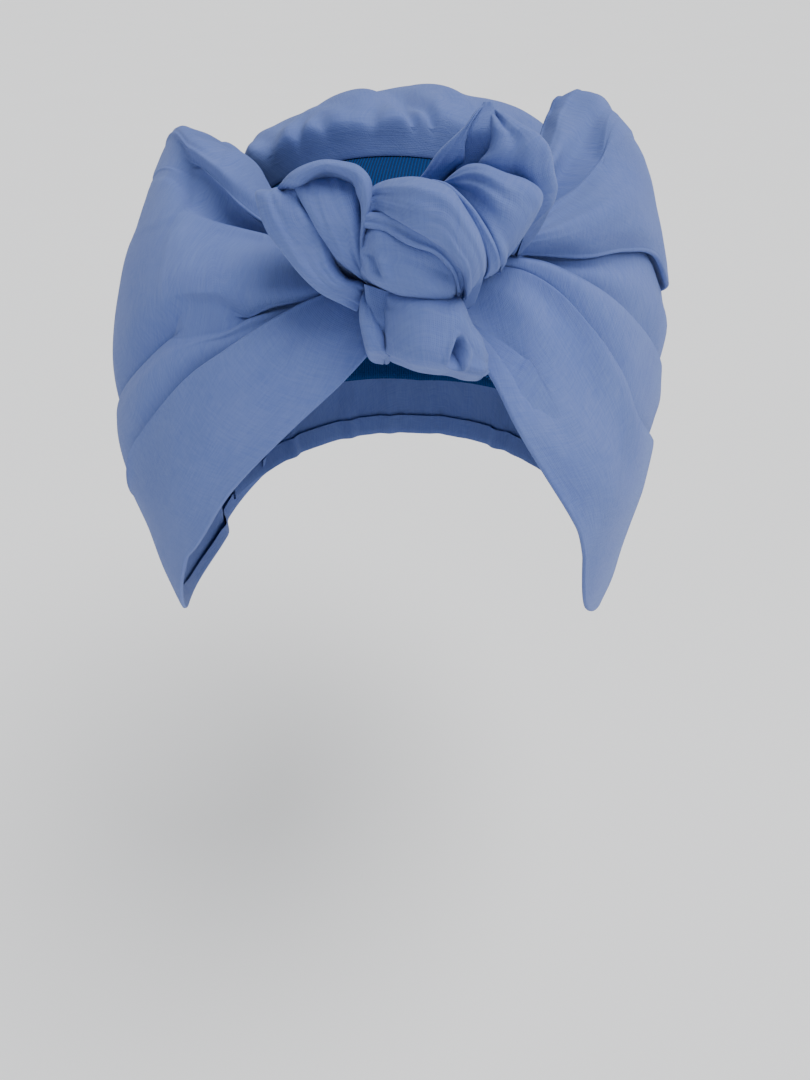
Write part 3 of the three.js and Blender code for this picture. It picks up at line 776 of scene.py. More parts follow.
@dataclass(frozen=True)
class BackPanel:
    """The woven panel over the crown and the nape, shirred along its front hem.

    Places across and over are in degrees, places along are shares of the way from hem to
    nape, and a ripple's cell is in both. fade is how much of the puff is left at each share
    of the way to the side, and skew makes one side fuller than the other.
    """

    head: HeadForm
    edge: float = 63
    hem_middle: float = -3.6
    hem_side: float = 24
    nape_drop: float = 110
    low: float = 3.7 * MM
    lowest: float = 2.9 * MM
    puff: float = 15 * MM
    along: tuple[float, ...] = (0, 0.005, 0.012, 0.02, 0.032, 0.06, 0.14, 0.27, 0.5, 0.72, 0.9, 1)
    stand: tuple[float, ...] = (-0.05, 0.15, 0.34, 0.47, 0.56, 0.66, 0.83, 0.94, 0.88, 0.62, 0.4, 0.1)
    fade_across: tuple[float, ...] = (0, 0.4, 0.7, 0.88, 1)
    fade: tuple[float, ...] = (1.02, 1.19, 1.3, 0.93, 0.55)
    skew: float = 0.07
    skew_end: float = 0.9
    hem_end: tuple[float, float] = (0, 0.02)
    gather_start: float = 0.55
    gather_fade: float = 1.6
    puckers: tuple[Ripple, ...] = (
        Ripple((2.7, 1 / 9), 5, 1.1 * MM),
        Ripple((6, 1 / 6), 6, 1.1 * MM, (3, 0)),
    )
    pucker_start: tuple[float, float] = (0, 0.01)
    pucker_reach: float = 0.075
    bumps: Ripple = Ripple((9, 1 / 7), 3, 0.8 * MM, (20, 0))
    bump_start: tuple[float, float] = (0, 0.1)
    drawn: Ripple = Ripple((4.5, 1 / 2.4), 8, 0.7 * MM, (0, 3), 22)
    drawn_start: tuple[float, float] = (0, 0.05)
    drawn_reach: float = 0.3
    nape_waves: Ripple = Ripple((3.2, 1 / 3), 12, 1.2 * MM, (9, 0))
    nape_start: tuple[float, float] = (0.85, 0.97)
    overhang: float = 1.2 * MM
    overhang_waves: Ripple = Ripple((5, 1 / 4), 9, 0.9 * MM, (7, 0))
    overhang_reach: float = 0.07
    overhang_sides: tuple[float, float] = (20, 38)
    covered_sides: tuple[float, float] = (40, 54)
    covered_share: float = 0.9
    front_hem: float = 7 * MM
    nape_hem: float = 8 * MM
    hem_wall: float = 1 * MM
    hem_density: float = 0.28
    columns: int = 330
    rows: int = 220
    sheet: Sheet = Sheet("back_panel", (0.235, 0.205), Hold.GATHERED, ("inner_cap_knit",))
    gathers: tuple[Gather, ...] = (
        Gather(-52, 3.5, 1.6 * MM, 0.16, -3),
        Gather(-45, 2.6, 1.8 * MM, 0.12, 3),
        Gather(-37, 3.2, 2.2 * MM, 0.2, 5),
        Gather(-31, 1.8, 1.6 * MM, 0.1, -3),
        Gather(-26, 3.4, 2.4 * MM, 0.16, 7),
        Gather(-20, 1.6, 1.6 * MM, 0.08, 4),
        Gather(-13, 1.8, 1.4 * MM, 0.07, -3),
        Gather(-4.5, 2.2, 1.3 * MM, 0.12, 2),
        Gather(3.6, 1.5, 3.4 * MM, 0.1, -6),
        Gather(7.0, 1.6, 3.0 * MM, 0.12, -9),
        Gather(14, 2.4, 2.4 * MM, 0.2, -4),
        Gather(22, 3.0, 2.2 * MM, 0.18, 4),
        Gather(31, 2.6, 2.0 * MM, 0.14, -3),
        Gather(42, 3.4, 1.8 * MM, 0.2, 3),
    )

    def hem(self, share: np.ndarray) -> np.ndarray:
        """Returns where the hem lies at a share of the way to the side, in degrees over."""
        return self.hem_middle + (self.hem_side - self.hem_middle) * share**2

    def nape(self, share: np.ndarray) -> np.ndarray:
        """Returns where the nape edge lies at a share of the way to the side, in degrees over."""
        level = math.cos(math.radians(self.nape_drop))
        return np.degrees(np.arccos(level / np.cos(np.radians(share * self.edge))))

    def smooth_stand(self, across: np.ndarray, over: np.ndarray) -> np.ndarray:
        """Works out how far the panel stands off the head, without its gathers.

        Args:
            across: Degrees from the middle line.
            over: Degrees from the vertex towards the nape.

        Returns:
            The stand, in metres.
        """
        share = np.minimum(1, np.abs(across) / self.edge)
        hem = self.hem(share)
        along = np.clip((over - hem) / (self.nape(share) - hem), 0, 1)
        fade = shaped(self.fade_across, self.fade, share)
        bow = np.sin(np.pi * np.minimum(share / self.skew_end, 1))
        fade = fade + np.sign(across) * self.skew * bow
        return self.low + shaped(self.along, self.stand, along) * self.puff * fade

    def relief(self, across: np.ndarray, along: np.ndarray) -> np.ndarray:
        """Works out the gathers and the soft creases that run back from them.

        Args:
            across: Degrees from the middle line.
            along: Share of the way from hem to nape.

        Returns:
            A length to add to the stand, in metres.
        """
        total = np.zeros(np.broadcast(across, along).shape)
        for gather in self.gathers:
            middle = gather.across + gather.drift * along / gather.reach
            spread = gather.width * (self.gather_start + along / gather.reach)
            fade = np.exp(-((along / gather.reach) ** self.gather_fade))
            fade = fade * rise(along, self.hem_end)
            total -= gather.depth * bell(across - middle, spread) * fade
        pucker = sum(ripple.read(across, along) for ripple in self.puckers)
        total += pucker * bell(along, self.pucker_reach) * rise(along, self.pucker_start)
        total += self.bumps.read(across, along) * rise(along, self.bump_start)
        drawn = self.drawn.read(across, along) * np.exp(-along / self.drawn_reach)
        total += drawn * rise(along, self.drawn_start)
        total += self.nape_waves.read(across, along) * rise(along, self.nape_start)
        return total * (1 - self.covered_share * rise(np.abs(across), self.covered_sides))

    def build(self, wardrobe: Wardrobe) -> bpy.types.Object:
        """Builds the panel with its hems turned in.

        Args:
            wardrobe: The finishes.

        Returns:
            The piece.
        """
        side = np.linspace(-1, 1, self.columns)[None]
        rows = np.linspace(0, 1, self.rows)[:, None]
        along = rows * (self.hem_density + (1 - self.hem_density) * rows)
        share = np.abs(side)
        over = self.hem(share) + (self.nape(share) - self.hem(share)) * along
        across = np.broadcast_to(side * self.edge, over.shape)
        along = np.broadcast_to(along, over.shape)
        azimuth, drop = self.head.from_bonnet(across, over)
        stand = self.smooth_stand(across, over) + self.relief(across, along)
        points, normals = self.head.spot(azimuth, drop, np.maximum(stand, self.lowest))
        hang = self.overhang + self.overhang_waves.read(across, along)
        hang = hang * rise(along, self.hem_end) * bell(along, self.overhang_reach)
        hang = hang * (1 - rise(np.abs(across), self.overhang_sides))
        points = points - np.array([0, 1, 0]) * hang[..., None]
        points, normals = turned_in(points, normals, 0, 0, self.front_hem, self.hem_wall)
        points, normals = turned_in(points, normals, 0, -1, self.nape_hem, self.hem_wall)
        return self.sheet.declare(grid_object(self.sheet.name, points), wardrobe)


@dataclass(frozen=True)
class FoldLine:
    """A line along a side wrap, read at eight even steps from the knot to the back.

    azimuth and drop are in degrees and stand is a share of the wrap's puff. crest is how far
    the cloth between this line and the next swells, with lean under 1 where the swell hangs
    low and over 1 where it lies high. tuck is how far one strip is tucked behind the other, in
    millimetres: over 0 where the strip above lies in front, under 0 where the one below does.
    lift is how far the front strip's edge stands off the other, in millimetres. The cloth
    passes smoothly over a plain line.
    """

    azimuth: tuple[float, ...]
    drop: tuple[float, ...]
    stand: tuple[float, ...]
    crest: tuple[float, ...] = (0,) * 8
    lean: float = 1.0
    rows: int = 24
    tuck: tuple[float, ...] = (0,) * 8
    lift: tuple[float, ...] = (0,) * 8
    plain: bool = False


@dataclass(frozen=True)
class Crease:
    """A soft crease or ridge on a wrap, from one place to another.

    Each place is (column share, row place), where 2.4 is two fifths of the way up the third
    strip. depth is in millimetres, under 0 for a ridge, and width in millimetres.
    """

    start: tuple[float, float]
    end: tuple[float, float]
    depth: float
    width: float


FOLD_PATH = ((0.5, -0.5), (0.9, -0.55), (1.0, -0.4), (0.85, -0.15), (0.45, 0.1), (0.0, 0.3))
EDGE_PATH = ((-0.22, 0.42), (-0.34, 0.62), (-0.28, 0.86), (-0.08, 1.0))


@dataclass(frozen=True)
class SideWrap:
    """A pleated wrap that fans out from the knot, laid over the cap and the back panel.

    gather is where every line ends under the knot: azimuth, drop and share of the puff. The
    bands of over_cap to nape_azimuth are in degrees, handover, relaxed_tuck and all that
    goes with the ripples and creases are in millimetres, and the rear's and the hems' bands
    are in column shares. crease_scale is how long the wrap and how high a strip is taken to be.
    """

    sheet: Sheet
    head: HeadForm
    cap: InnerCap
    panel: BackPanel
    lines: tuple[FoldLine, ...]
    creases: tuple[Crease, ...]
    seed: int
    gather: tuple[float, float, float]
    puff: float = 20 * MM
    over_cap: float = 3.7 * MM
    over_head: float = 1.8 * MM
    over_panel: float = 3.1 * MM
    past_rim: tuple[float, float] = (3, 11)
    past_side: tuple[float, float] = (2, 8)
    past_hem: tuple[float, float] = (3, 11)
    nape_drop: tuple[float, float] = (85, 93)
    nape_azimuth: tuple[float, float] = (98, 106)
    rear_down: tuple[float, float] = (0.74, 0.96)
    rear_pressed: tuple[float, float] = (0.86, 0.98)
    rear_press: float = 1.7 * MM
    beside_fold: int = 3
    handover: tuple[float, float] = (-1.5, 1.5)
    lift_reach: float = 9 * MM
    sink_reach: float = 5 * MM
    sink_share: float = 0.35
    gathered_lift: float = 0.2
    relaxed_rows: int = 13
    relaxed_pull: float = 0.6
    relaxed_tuck: float = 1.6
    strip_height: float = 24
    ripples: tuple[Ripple, Ripple, Ripple] = (
        Ripple((55, 5.5), 0, 1, (3, 0)),
        Ripple((38, 2.6), 1, 0.28, (9, 0)),
        Ripple((30, 20), 2, 0.55, (0, 7)),
    )
    ripple_start: tuple[float, float] = (0, 12)
    ripple_end: tuple[float, float] = (0, 0.1)
    tension_reach: float = 45
    crease_scale: tuple[float, float] = (230.0, 26.0)
    crease_ends: tuple[float, float] = (0.04, 0.96)
    crease_taper: float = 0.6
    brim_hem: float = 12 * MM
    top_hem: float = 8 * MM
    rear_hem: float = 8 * MM
    hem_least: float = 0.05
    hem_starts: float = 0.25
    hem_thins: tuple[float, float] = (0.7, 0.8)
    hem_wall: float = 1.2 * MM
    rear_wall: float = 0.8 * MM
    columns: int = 255
    gather_columns: int = 18
    gather_end: float = -0.9

    def cover(self, azimuth: np.ndarray, drop: np.ndarray) -> np.ndarray:
        """Works out the lowest stand that clears what the wrap covers.

        Args:
            azimuth: Turn from the front, in degrees.
            drop: Drop from the vertex, in degrees.

        Returns:
            The stand, in metres.
        """
        off_cap = rise(drop - self.cap.rim(azimuth), self.past_rim)
        low = self.over_cap + (self.over_head - self.over_cap) * off_cap
        across, over = self.head.to_bonnet(azimuth, drop)
        on_panel = 1 - rise(np.abs(across) - self.panel.edge, self.past_side)
        beside = 1 - rise(np.abs(azimuth), self.nape_azimuth)
        on_panel = on_panel * (1 - rise(drop, self.nape_drop) * beside)
        on_panel = on_panel * (1 - rise(self.panel.hem_middle - over, self.past_hem))
        panel = self.panel.smooth_stand(across, over) + self.over_panel
        return smooth_max(low, low + (panel - low) * on_panel)

    def read(self, row: Sequence[float], u: np.ndarray, gathered: float) -> np.ndarray:
        """Reads a line's row, and draws it into the knot where u is under 0.

        Args:
            row: The row's eight values.
            u: Column shares, from -1 at the knot's middle.
            gathered: The value at the knot's middle.

        Returns:
            The value at each column.
        """
        value = curve(row, np.maximum(u, 0))
        share = np.clip(-u, 0, 1)
        return value + (gathered - value) * share

    def face(self, first: int, last: int, u: np.ndarray) -> tuple[np.ndarray, ...]:
        """Lays out one strip between two folds, smoothly over any plain lines between them.

        Args:
            first: The line below the strip.
            last: The line above it.
            u: Column shares.

        Returns:
            The strip's points, normals and row places.
        """
        lines = self.lines[first : last + 1]
        spans = last - first
        t = np.linspace(0, 1, sum(line.rows for line in lines[:-1]))
        t = (t + smooth(t)) / 2
        span = np.minimum((t * spans).astype(int), spans - 1)
        within = (t * spans - span)[:, None]
        turn, low, thin = self.gather
        azimuth = curve([self.read(line.azimuth, u, turn) for line in lines], t)
        drop = curve([self.read(line.drop, u, low) for line in lines], t)
        stand = curve([self.read(line.stand, u, thin) for line in lines], t)
        crest = np.stack([self.read(line.crest, u, 0) for line in lines])[span]
        lean = np.array([line.lean for line in lines])[span][:, None]
        bulge = np.sin(np.pi * within**lean)
        stand = (stand + crest * (bulge if spans == 1 else bulge**2)) * self.puff
        stand = self.settled(stand, self.cover(azimuth, drop), u)
        points, normals = self.head.spot(azimuth, drop, stand)
        up = steps_along(points, 0)
        lifted = self.near_line(first, u, up, above=True)
        lifted = lifted + self.near_line(last, u, up[-1:] - up, above=False)
        return points + normals * lifted[..., None], normals, first + t * spans

    def settled(self, stand: np.ndarray, cover: np.ndarray, u: np.ndarray) -> np.ndarray:
        """Keeps the wrap off what it covers, and lays its rear edge down on it.

        Args:
            stand: The wrap's own stand.
            cover: The lowest stand that clears what it covers.
            u: Column shares.

        Returns:
            The stand to use.
        """
        low = cover - self.rear_press * rise(u, self.rear_pressed)
        return smooth_max(stand + (low - stand) * rise(u, self.rear_down), low)

    def near_line(self, line: int, u: np.ndarray, away: np.ndarray, above: bool) -> np.ndarray:
        """Works out how a fold lifts or sinks the strip beside it.

        Args:
            line: Which line.
            u: Column shares.
            away: Distance from the line, in metres.
            above: Whether the strip lies above the line.

        Returns:
            A length along the normal.
        """
        if line in (0, len(self.lines) - 1):
            return np.zeros(away.shape)
        lift = self.read(self.lines[line].lift, u, self.gathered_lift)[None] * MM
        front = rise(curve(self.lines[line].tuck, u)[None], self.handover)
        front = front if above else 1 - front
        raised = lift * np.exp(-away / self.lift_reach)
        sunk = -self.sink_share * lift * bell(away, self.sink_reach)
        return raised * front + sunk * (1 - front)

    def fold(
        self, line: int, u: np.ndarray, below: np.ndarray, above: np.ndarray
    ) -> tuple[np.ndarray, np.ndarray]:
        """Builds the hidden turn between two strips.

        Args:
            line: Which line.
            u: Column shares.
            below: The points of the strip below.
            above: The points of the strip above.

        Returns:
            The fold's points and normals, from the strip below to the one above.
        """
        row = self.lines[line]
        turn, low, thin = self.gather
        azimuth, drop = self.read(row.azimuth, u, turn), self.read(row.drop, u, low)
        stand = self.read(row.stand, u, thin) * self.puff
        stand = self.settled(stand, self.cover(azimuth, drop), u)
        base, normal = self.head.spot(azimuth, drop, stand)
        up = above[self.beside_fold] - below[-1 - self.beside_fold]
        up = unit(up - normal * (up * normal).sum(-1, keepdims=True))
        tuck = self.read(row.tuck, u, 0)[:, None]
        deep = np.abs(tuck) * MM
        high = self.read(row.lift, u, self.gathered_lift)[:, None] * MM
        down_path = [(s * deep, n * high) for s, n in FOLD_PATH]
        down_path += [(s * high, n * high) for s, n in EDGE_PATH]
        up_path = [(-s, n) for s, n in down_path[::-1]]
        front = rise(tuck, self.handover)
        rings = []
        for (s0, n0), (s1, n1) in zip(down_path, up_path):
            s, n = s0 * front + s1 * (1 - front), n0 * front + n1 * (1 - front)
            rings.append(base + up * s + normal * n)
        whole = np.stack([below[-1], *rings, above[0]])
        fine = curve(whole, np.linspace(0, 1, 2 * len(whole) - 1))[1:-1]
        return fine, np.repeat(normal[None], len(fine), axis=0)

    def relaxed(
        self, points: np.ndarray, line: int, start: int, stop: int, u: np.ndarray
    ) -> np.ndarray:
        """Lets the cloth pass smoothly where a fold has run out.

        Args:
            points: The wrap's grid.
            line: The fold's line.
            start: The fold's first row.
            stop: The row after its last one.
            u: Column shares.

        Returns:
            The new points.
        """
        low, high = start - self.relaxed_rows, stop + self.relaxed_rows - 1
        chord = points[high] - points[low]
        length = np.linalg.norm(chord, axis=-1, keepdims=True) * self.relaxed_pull
        begin = unit(points[low] - points[low - 1]) * length
        end = unit(points[high + 1] - points[high]) * length
        t = np.linspace(0, 1, high - low + 1)[:, None, None]
        bend = 3 * chord - 2 * begin - end + t * (begin + end - 2 * chord)
        eased = points[low] + t * (begin + t * bend)
        share = 1 - rise(np.abs(curve(self.lines[line].tuck, u)), (0, self.relaxed_tuck))
        result = points.copy()
        old = points[low : high + 1]
        result[low : high + 1] = old + (eased - old) * share[None, :, None]
        return result

    def wrinkled(self, points: np.ndarray, normals: np.ndarray, place: np.ndarray) -> np.ndarray:
        """Adds tension wrinkles that run out from the knot, soft dents and single creases.

        Args:
            points: The wrap's grid.
            normals: Its normals.
            place: Each row's place over the strips.

        Returns:
            The new points.
        """
        along = steps_along(points, 1) / MM
        climb = (place - place[0])[:, None] * self.strip_height
        near = np.exp(-along / self.tension_reach)
        fans, fine, broad = (r.read(along, climb, self.seed) for r in self.ripples)
        total = fans * (1 + near) / 2 + fine * near + broad
        u = np.linspace(0, 1, points.shape[1])[None]
        total = total * rise(along, self.ripple_start) * rise(1 - u, self.ripple_end)
        scale = np.array(self.crease_scale)
        for crease in self.creases:
            start = np.array(crease.start) * scale
            line = np.array(crease.end) * scale - start
            x, y = u * scale[0] - start[0], place[:, None] * scale[1] - start[1]
            t = np.clip((x * line[0] + y * line[1]) / (line @ line), 0, 1)
            away = np.hypot(x - t * line[0], y - t * line[1])
            ends = np.sin(np.pi * np.clip(t, *self.crease_ends)) ** self.crease_taper
            total = total - crease.depth * bell(away, crease.width) * ends
        return points + normals * (total * MM)[..., None]

    def build(self, wardrobe: Wardrobe) -> bpy.types.Object:
        """Builds the wrap from its strips and folds.

        Args:
            wardrobe: The finishes.

        Returns:
            The piece.
        """
        drawn = np.linspace(self.gather_end, 0, self.gather_columns + 1)[:-1]
        u = np.concatenate([drawn, np.linspace(0, 1, self.columns)])
        folds = [i for i, line in enumerate(self.lines) if not line.plain]
        faces = [self.face(first, last, u) for first, last in zip(folds, folds[1:])]
        points, normals, places, turns = [], [], [], []
        rows = 0
        for index, (face, normal, place) in enumerate(faces):
            if index > 0:
                line = folds[index]
                turn, turn_normal = self.fold(line, u, faces[index - 1][0], face)
                points.append(turn)
                normals.append(turn_normal)
                places.append(np.full(len(turn), float(line)))
                turns.append((line, rows, rows + len(turn)))
                rows += len(turn)
            points.append(face)
            normals.append(normal)
            places.append(place)
            rows += len(face)
        grid, up = np.concatenate(points), np.concatenate(normals)
        for line, start, stop in turns:
            grid = self.relaxed(grid, line, start, stop, u)
        grid = self.wrinkled(grid, up, np.concatenate(places))
        room = np.clip(u / self.hem_starts, self.hem_least, 1)[:, None]
        room = room * (1 - rise(u, self.hem_thins)[:, None] / 2)
        grid, up = turned_in(grid, up, 0, 0, self.brim_hem * room, self.hem_wall)
        grid, up = turned_in(grid, up, 0, -1, self.top_hem * room, self.hem_wall)
        grid, up = turned_in(grid, up, 1, -1, self.rear_hem, self.rear_wall)
        return self.sheet.declare(grid_object(self.sheet.name, grid), wardrobe)


LEFT_LINES = (
    # brim
    FoldLine(
        (5, -5, -15, -26, -38, -59, -92, -128),
        (44, 52.2, 60.7, 72.4, 88.9, 106.5, 113, 110),
        (0.25, 0.17, 0.13, 0.12, 0.17, 0.23, 0.22, 0.15),
        (0.05, 0.07, 0.09, 0.11, 0.08, 0.0, 0.0, 0.02),
        1.8,
        34,
    ),
    # edge of the lower band
    FoldLine(
        (-8.5, -14.5, -20.5, -28, -36, -47, -70, -128),
        (40.5, 43.5, 47.5, 53, 59.5, 72, 95, 99),
        (0.3, 0.29, 0.31, 0.35, 0.42, 0.51, 0.43, 0.3),
        (0.02, 0.03, 0.05, 0.06, 0.06, 0.05, 0.03, 0.02),
        1.2,
        26,
        (-0.8, -3.5, -5, -6, -6, -4, -3, -1),
        (0.9, 2.4, 3.2, 3.3, 2.9, 1.6, 0.9, 0.4),
    ),
    # lower edge of the puff
    FoldLine(
        (-9, -15, -23, -31, -41, -54, -78, -128),
        (40, 42.5, 45, 48.5, 52.5, 65, 83, 86),
        (0.3, 0.31, 0.36, 0.43, 0.52, 0.59, 0.57, 0.45),
        (0.05, 0.14, 0.22, 0.26, 0.24, 0.1, 0.04, 0.04),
        0.7,
        44,
        (0.6, 2.6, 3.2, 0.3, -0.7, -4, -3, -1),
        (0.3, 0.9, 1.2, 0.4, 0.5, 0.9, 0.6, 0.3),
    ),
    # top of the puff
    FoldLine(
        (-27, -33, -40, -48, -53.5, -60, -103, -128),
        (34.5, 35, 36, 37.5, 39, 41, 54, 64),
        (0.3, 0.38, 0.45, 0.62, 0.88, 1.1, 1.04, 0.7),
        (-0.04, -0.14, -0.22, -0.24, -0.14, 0.04, 0.0, 0.0),
        1.0,
        24,
        (-2, -4, -4, -3, -1.2, 0, 0, 0),
        (0.6, 1.4, 1.8, 1.2, 0.4, 0.0, 0.0, 0.0),
    ),
    # edge of the standing roll
    FoldLine(
        (-32, -37, -42.5, -51, -62, -79, -105, -128),
        (33, 33.5, 33.5, 33, 33.5, 36, 51, 61),
        (0.36, 0.5, 0.65, 0.85, 1.1, 1.32, 1.0, 0.72),
        (0.06, 0.1, 0.12, 0.1, 0.06, 0.03, 0.02, 0.01),
        0.6,
        22,
        (2, 3.5, 4.2, 3.2, 1.2, 0, 0, 0),
        (0.8, 1.8, 2.4, 1.9, 0.8, 0.1, 0.0, 0.0),
    ),
    # top of the standing roll
    FoldLine(
        (-41, -47, -53.5, -57.5, -66, -81, -109, -128),
        (28.5, 27.7, 28, 30, 31.5, 34, 47, 57),
        (0.55, 0.7, 0.85, 1.0, 1.2, 1.37, 0.95, 0.7),
        (0.02, 0.03, 0.03, 0.03, 0.02, 0.01, 0.0, 0.0),
        0.5,
        16,
        plain=True,
    ),
    # hem
    FoldLine(
        (-47, -56, -66, -74, -80, -88, -112, -128),
        (28, 26.8, 26.3, 26.5, 28, 31, 42, 52),
        (0.3, 0.32, 0.36, 0.48, 0.68, 0.9, 0.9, 0.8),
    ),
)

RIGHT_LINES = (
    # brim
    FoldLine(
        (15, 24, 29, 35, 43, 55, 90, 128),
        (42, 51.3, 60.3, 69.5, 81.8, 101, 110, 110),
        (0.3, 0.2, 0.14, 0.1, 0.08, 0.05, 0.06, 0.12),
        (0.02, -0.04, -0.08, -0.04, 0.02, 0.05, 0.03, 0.03),
        1.0,
        34,
    ),
    # lower pleat
    FoldLine(
        (30.5, 38, 43.5, 48, 54, 63, 93, 128),
        (38, 40.5, 45, 51.5, 60, 72.5, 91, 93),
        (0.34, 0.34, 0.36, 0.36, 0.32, 0.24, 0.14, 0.25),
        (0.03, 0.04, 0.06, 0.08, 0.08, 0.06, 0.06, 0.02),
        1.4,
        20,
        (-1, -2.4, -3.4, -3.8, -3.5, -3, -2, -1),
        (0.7, 2.0, 2.8, 3.0, 2.6, 1.6, 0.8, 0.3),
    ),
    # upper pleat
    FoldLine(
        (34.5, 43, 49, 57, 66.5, 80, 97, 128),
        (36.5, 40, 44, 49.5, 57.5, 69, 79, 80),
        (0.36, 0.4, 0.42, 0.42, 0.4, 0.36, 0.32, 0.35),
        (0.02, 0.02, 0.03, 0.04, 0.06, 0.08, 0.05, 0.02),
        1.2,
        22,
        (-1.5, -3.4, -4.4, -4.8, -4.6, -4, -2, -1),
        (0.8, 2.4, 3.2, 3.3, 2.9, 1.8, 0.8, 0.3),
    ),
    # lower edge of the puff
    FoldLine(
        (34.5, 45, 55, 66, 76, 84, 104, 128),
        (36.5, 39, 42.2, 44.8, 49, 56, 64, 68),
        (0.36, 0.42, 0.54, 0.68, 0.8, 0.7, 0.62, 0.5),
        (0.0, 0.02, 0.03, 0.03, 0.02, 0.02, 0.02, 0.0),
        0.55,
        26,
        (1, 2.5, 3.5, 4, 4.5, 4.5, 2, 0.5),
        (0.5, 1.4, 1.8, 1.8, 1.8, 2.0, 1.0, 0.4),
    ),
    # crest of the puff
    FoldLine(
        (34.5, 41, 48.5, 57.5, 69, 86, 107, 128),
        (36.2, 37.5, 38.6, 39.2, 39.6, 40.0, 46, 57),
        (0.42, 0.58, 0.8, 1.02, 1.2, 1.31, 1.16, 0.75),
        lean=0.8,
        plain=True,
    ),
    # top of the puff
    FoldLine(
        (37, 43, 52, 59.5, 67, 78, 109, 128),
        (36, 35, 34, 34, 33.5, 32.5, 42, 53),
        (0.4, 0.46, 0.6, 0.82, 1.14, 1.54, 1.28, 0.82),
        (-0.18, -0.32, -0.32, -0.2, -0.08, -0.02, 0.0, 0.0),
        1.0,
        20,
        (-3.5, -6, -6, -4, -1.8, -0.3, 0, 0),
        (1.6, 3.2, 3.2, 1.8, 0.7, 0.1, 0.0, 0.0),
    ),
    # ridge behind the puff
    FoldLine(
        (41.5, 48.5, 57, 65, 77, 95, 116, 128),
        (31, 30, 29, 27.7, 26.3, 28, 38, 47),
        (0.6, 0.7, 0.84, 1.0, 1.2, 1.5, 1.12, 0.85),
        (0.02, 0.03, 0.03, 0.03, 0.03, 0.02, 0.01, 0.0),
        0.6,
        22,
        plain=True,
    ),
    # hem
    FoldLine(
        (50, 60, 69, 79, 84, 91, 119, 128),
        (27.5, 25.5, 24.7, 23.8, 23.5, 24.5, 33, 42),
        (0.5, 0.6, 0.75, 0.9, 1.08, 1.28, 0.9, 0.8),
    ),
)

LEFT_CREASES = (
    Crease((0.35, 2.03), (0.6, 2.0), 1.3, 3.5),
    Crease((0.1, 3.5), (0.3, 3.35), 1.2, 3.0),
    Crease((0.2, 2.8), (0.55, 2.72), 0.6, 4.0),
    Crease((0.25, 2.55), (0.6, 2.4), -0.5, 5.0),
    Crease((0.02, 0.7), (0.35, 0.75), 0.5, 3.0),
    Crease((0.3, 1.5), (0.6, 1.6), 0.6, 3.0),
)

RIGHT_CREASES = (
    Crease((0.02, 0.4), (0.36, 0.33), 2.1, 4.0),
    Crease((0.06, 0.66), (0.5, 0.62), -1.3, 4.0),
    Crease((0.12, 0.88), (0.5, 0.9), 1.2, 3.5),
    Crease((0.02, 0.15), (0.35, 0.2), -1.0, 3.5),
    Crease((0.2, 5.55), (0.55, 5.7), 0.9, 3.0),
    Crease((0.1, 4.4), (0.5, 4.6), 0.5, 5.0),
)


@dataclass(frozen=True)
class KnotFrame:
    """The knot's own plane: where its middle stands on the head and how it leans and turns."""

    head: HeadForm
    width: float = 62 * MM
    stand: float = 19 * MM
    azimuth: float = 11.8
    drop: float = 39.2
    tilt: float = math.radians(16)
    turn: float = math.radians(5.5)

    def place(self, across: np.ndarray, up: np.ndarray, out: np.ndarray) -> np.ndarray:
        """Turns shares of the knot's width into points.

        Args:
            across: Share towards +X in the knot's plane.
            up: Share up in the knot's plane.
            out: Share in front of the plane.

        Returns:
            The points, in metres.
        """
        origin, _ = self.head.spot(
            np.array(self.azimuth), np.array(self.drop), np.array(self.stand)
        )
        x = np.array([math.cos(self.turn), math.sin(self.turn), 0])
        y = np.array(
            [
                math.sin(self.turn) * math.cos(self.tilt),
                -math.cos(self.turn) * math.cos(self.tilt),
                math.sin(self.tilt),
            ]
        )
        z = np.cross(y, x)
        spot = across[..., None] * x + up[..., None] * z + out[..., None] * y
        return origin + spot * self.width


@dataclass(frozen=True)
class Groove:
    """A groove along a strip.

    at is its place between the near and the far edge, at the strip's start and end; depth is
    in millimetres and width is a share of the way between the edges. end is the share of the
    strip's length over which it fades at both ends.
    """

    at: tuple[float, float]
    depth: float
    width: float
    end: tuple[float, float] = (-0.06, 0.06)


@dataclass(frozen=True)
class Dent:
    """An open pocket or dent in a strip, with a soft lip round it.

    start and end are its line's ends, as shares along the strip and between its edges; depth
    is in millimetres and width is a share. The lip's height is a share of the depth, and its
    place and width are shares of the dent's width.
    """

    start: tuple[float, float]
    end: tuple[float, float]
    depth: float
    width: float
    lip: float = 0.22
    lip_place: float = 2.1
    lip_width: float = 0.8


SECTION_COLUMNS = ("near_across", "near_up", "far_across", "far_up", "front", "sink")


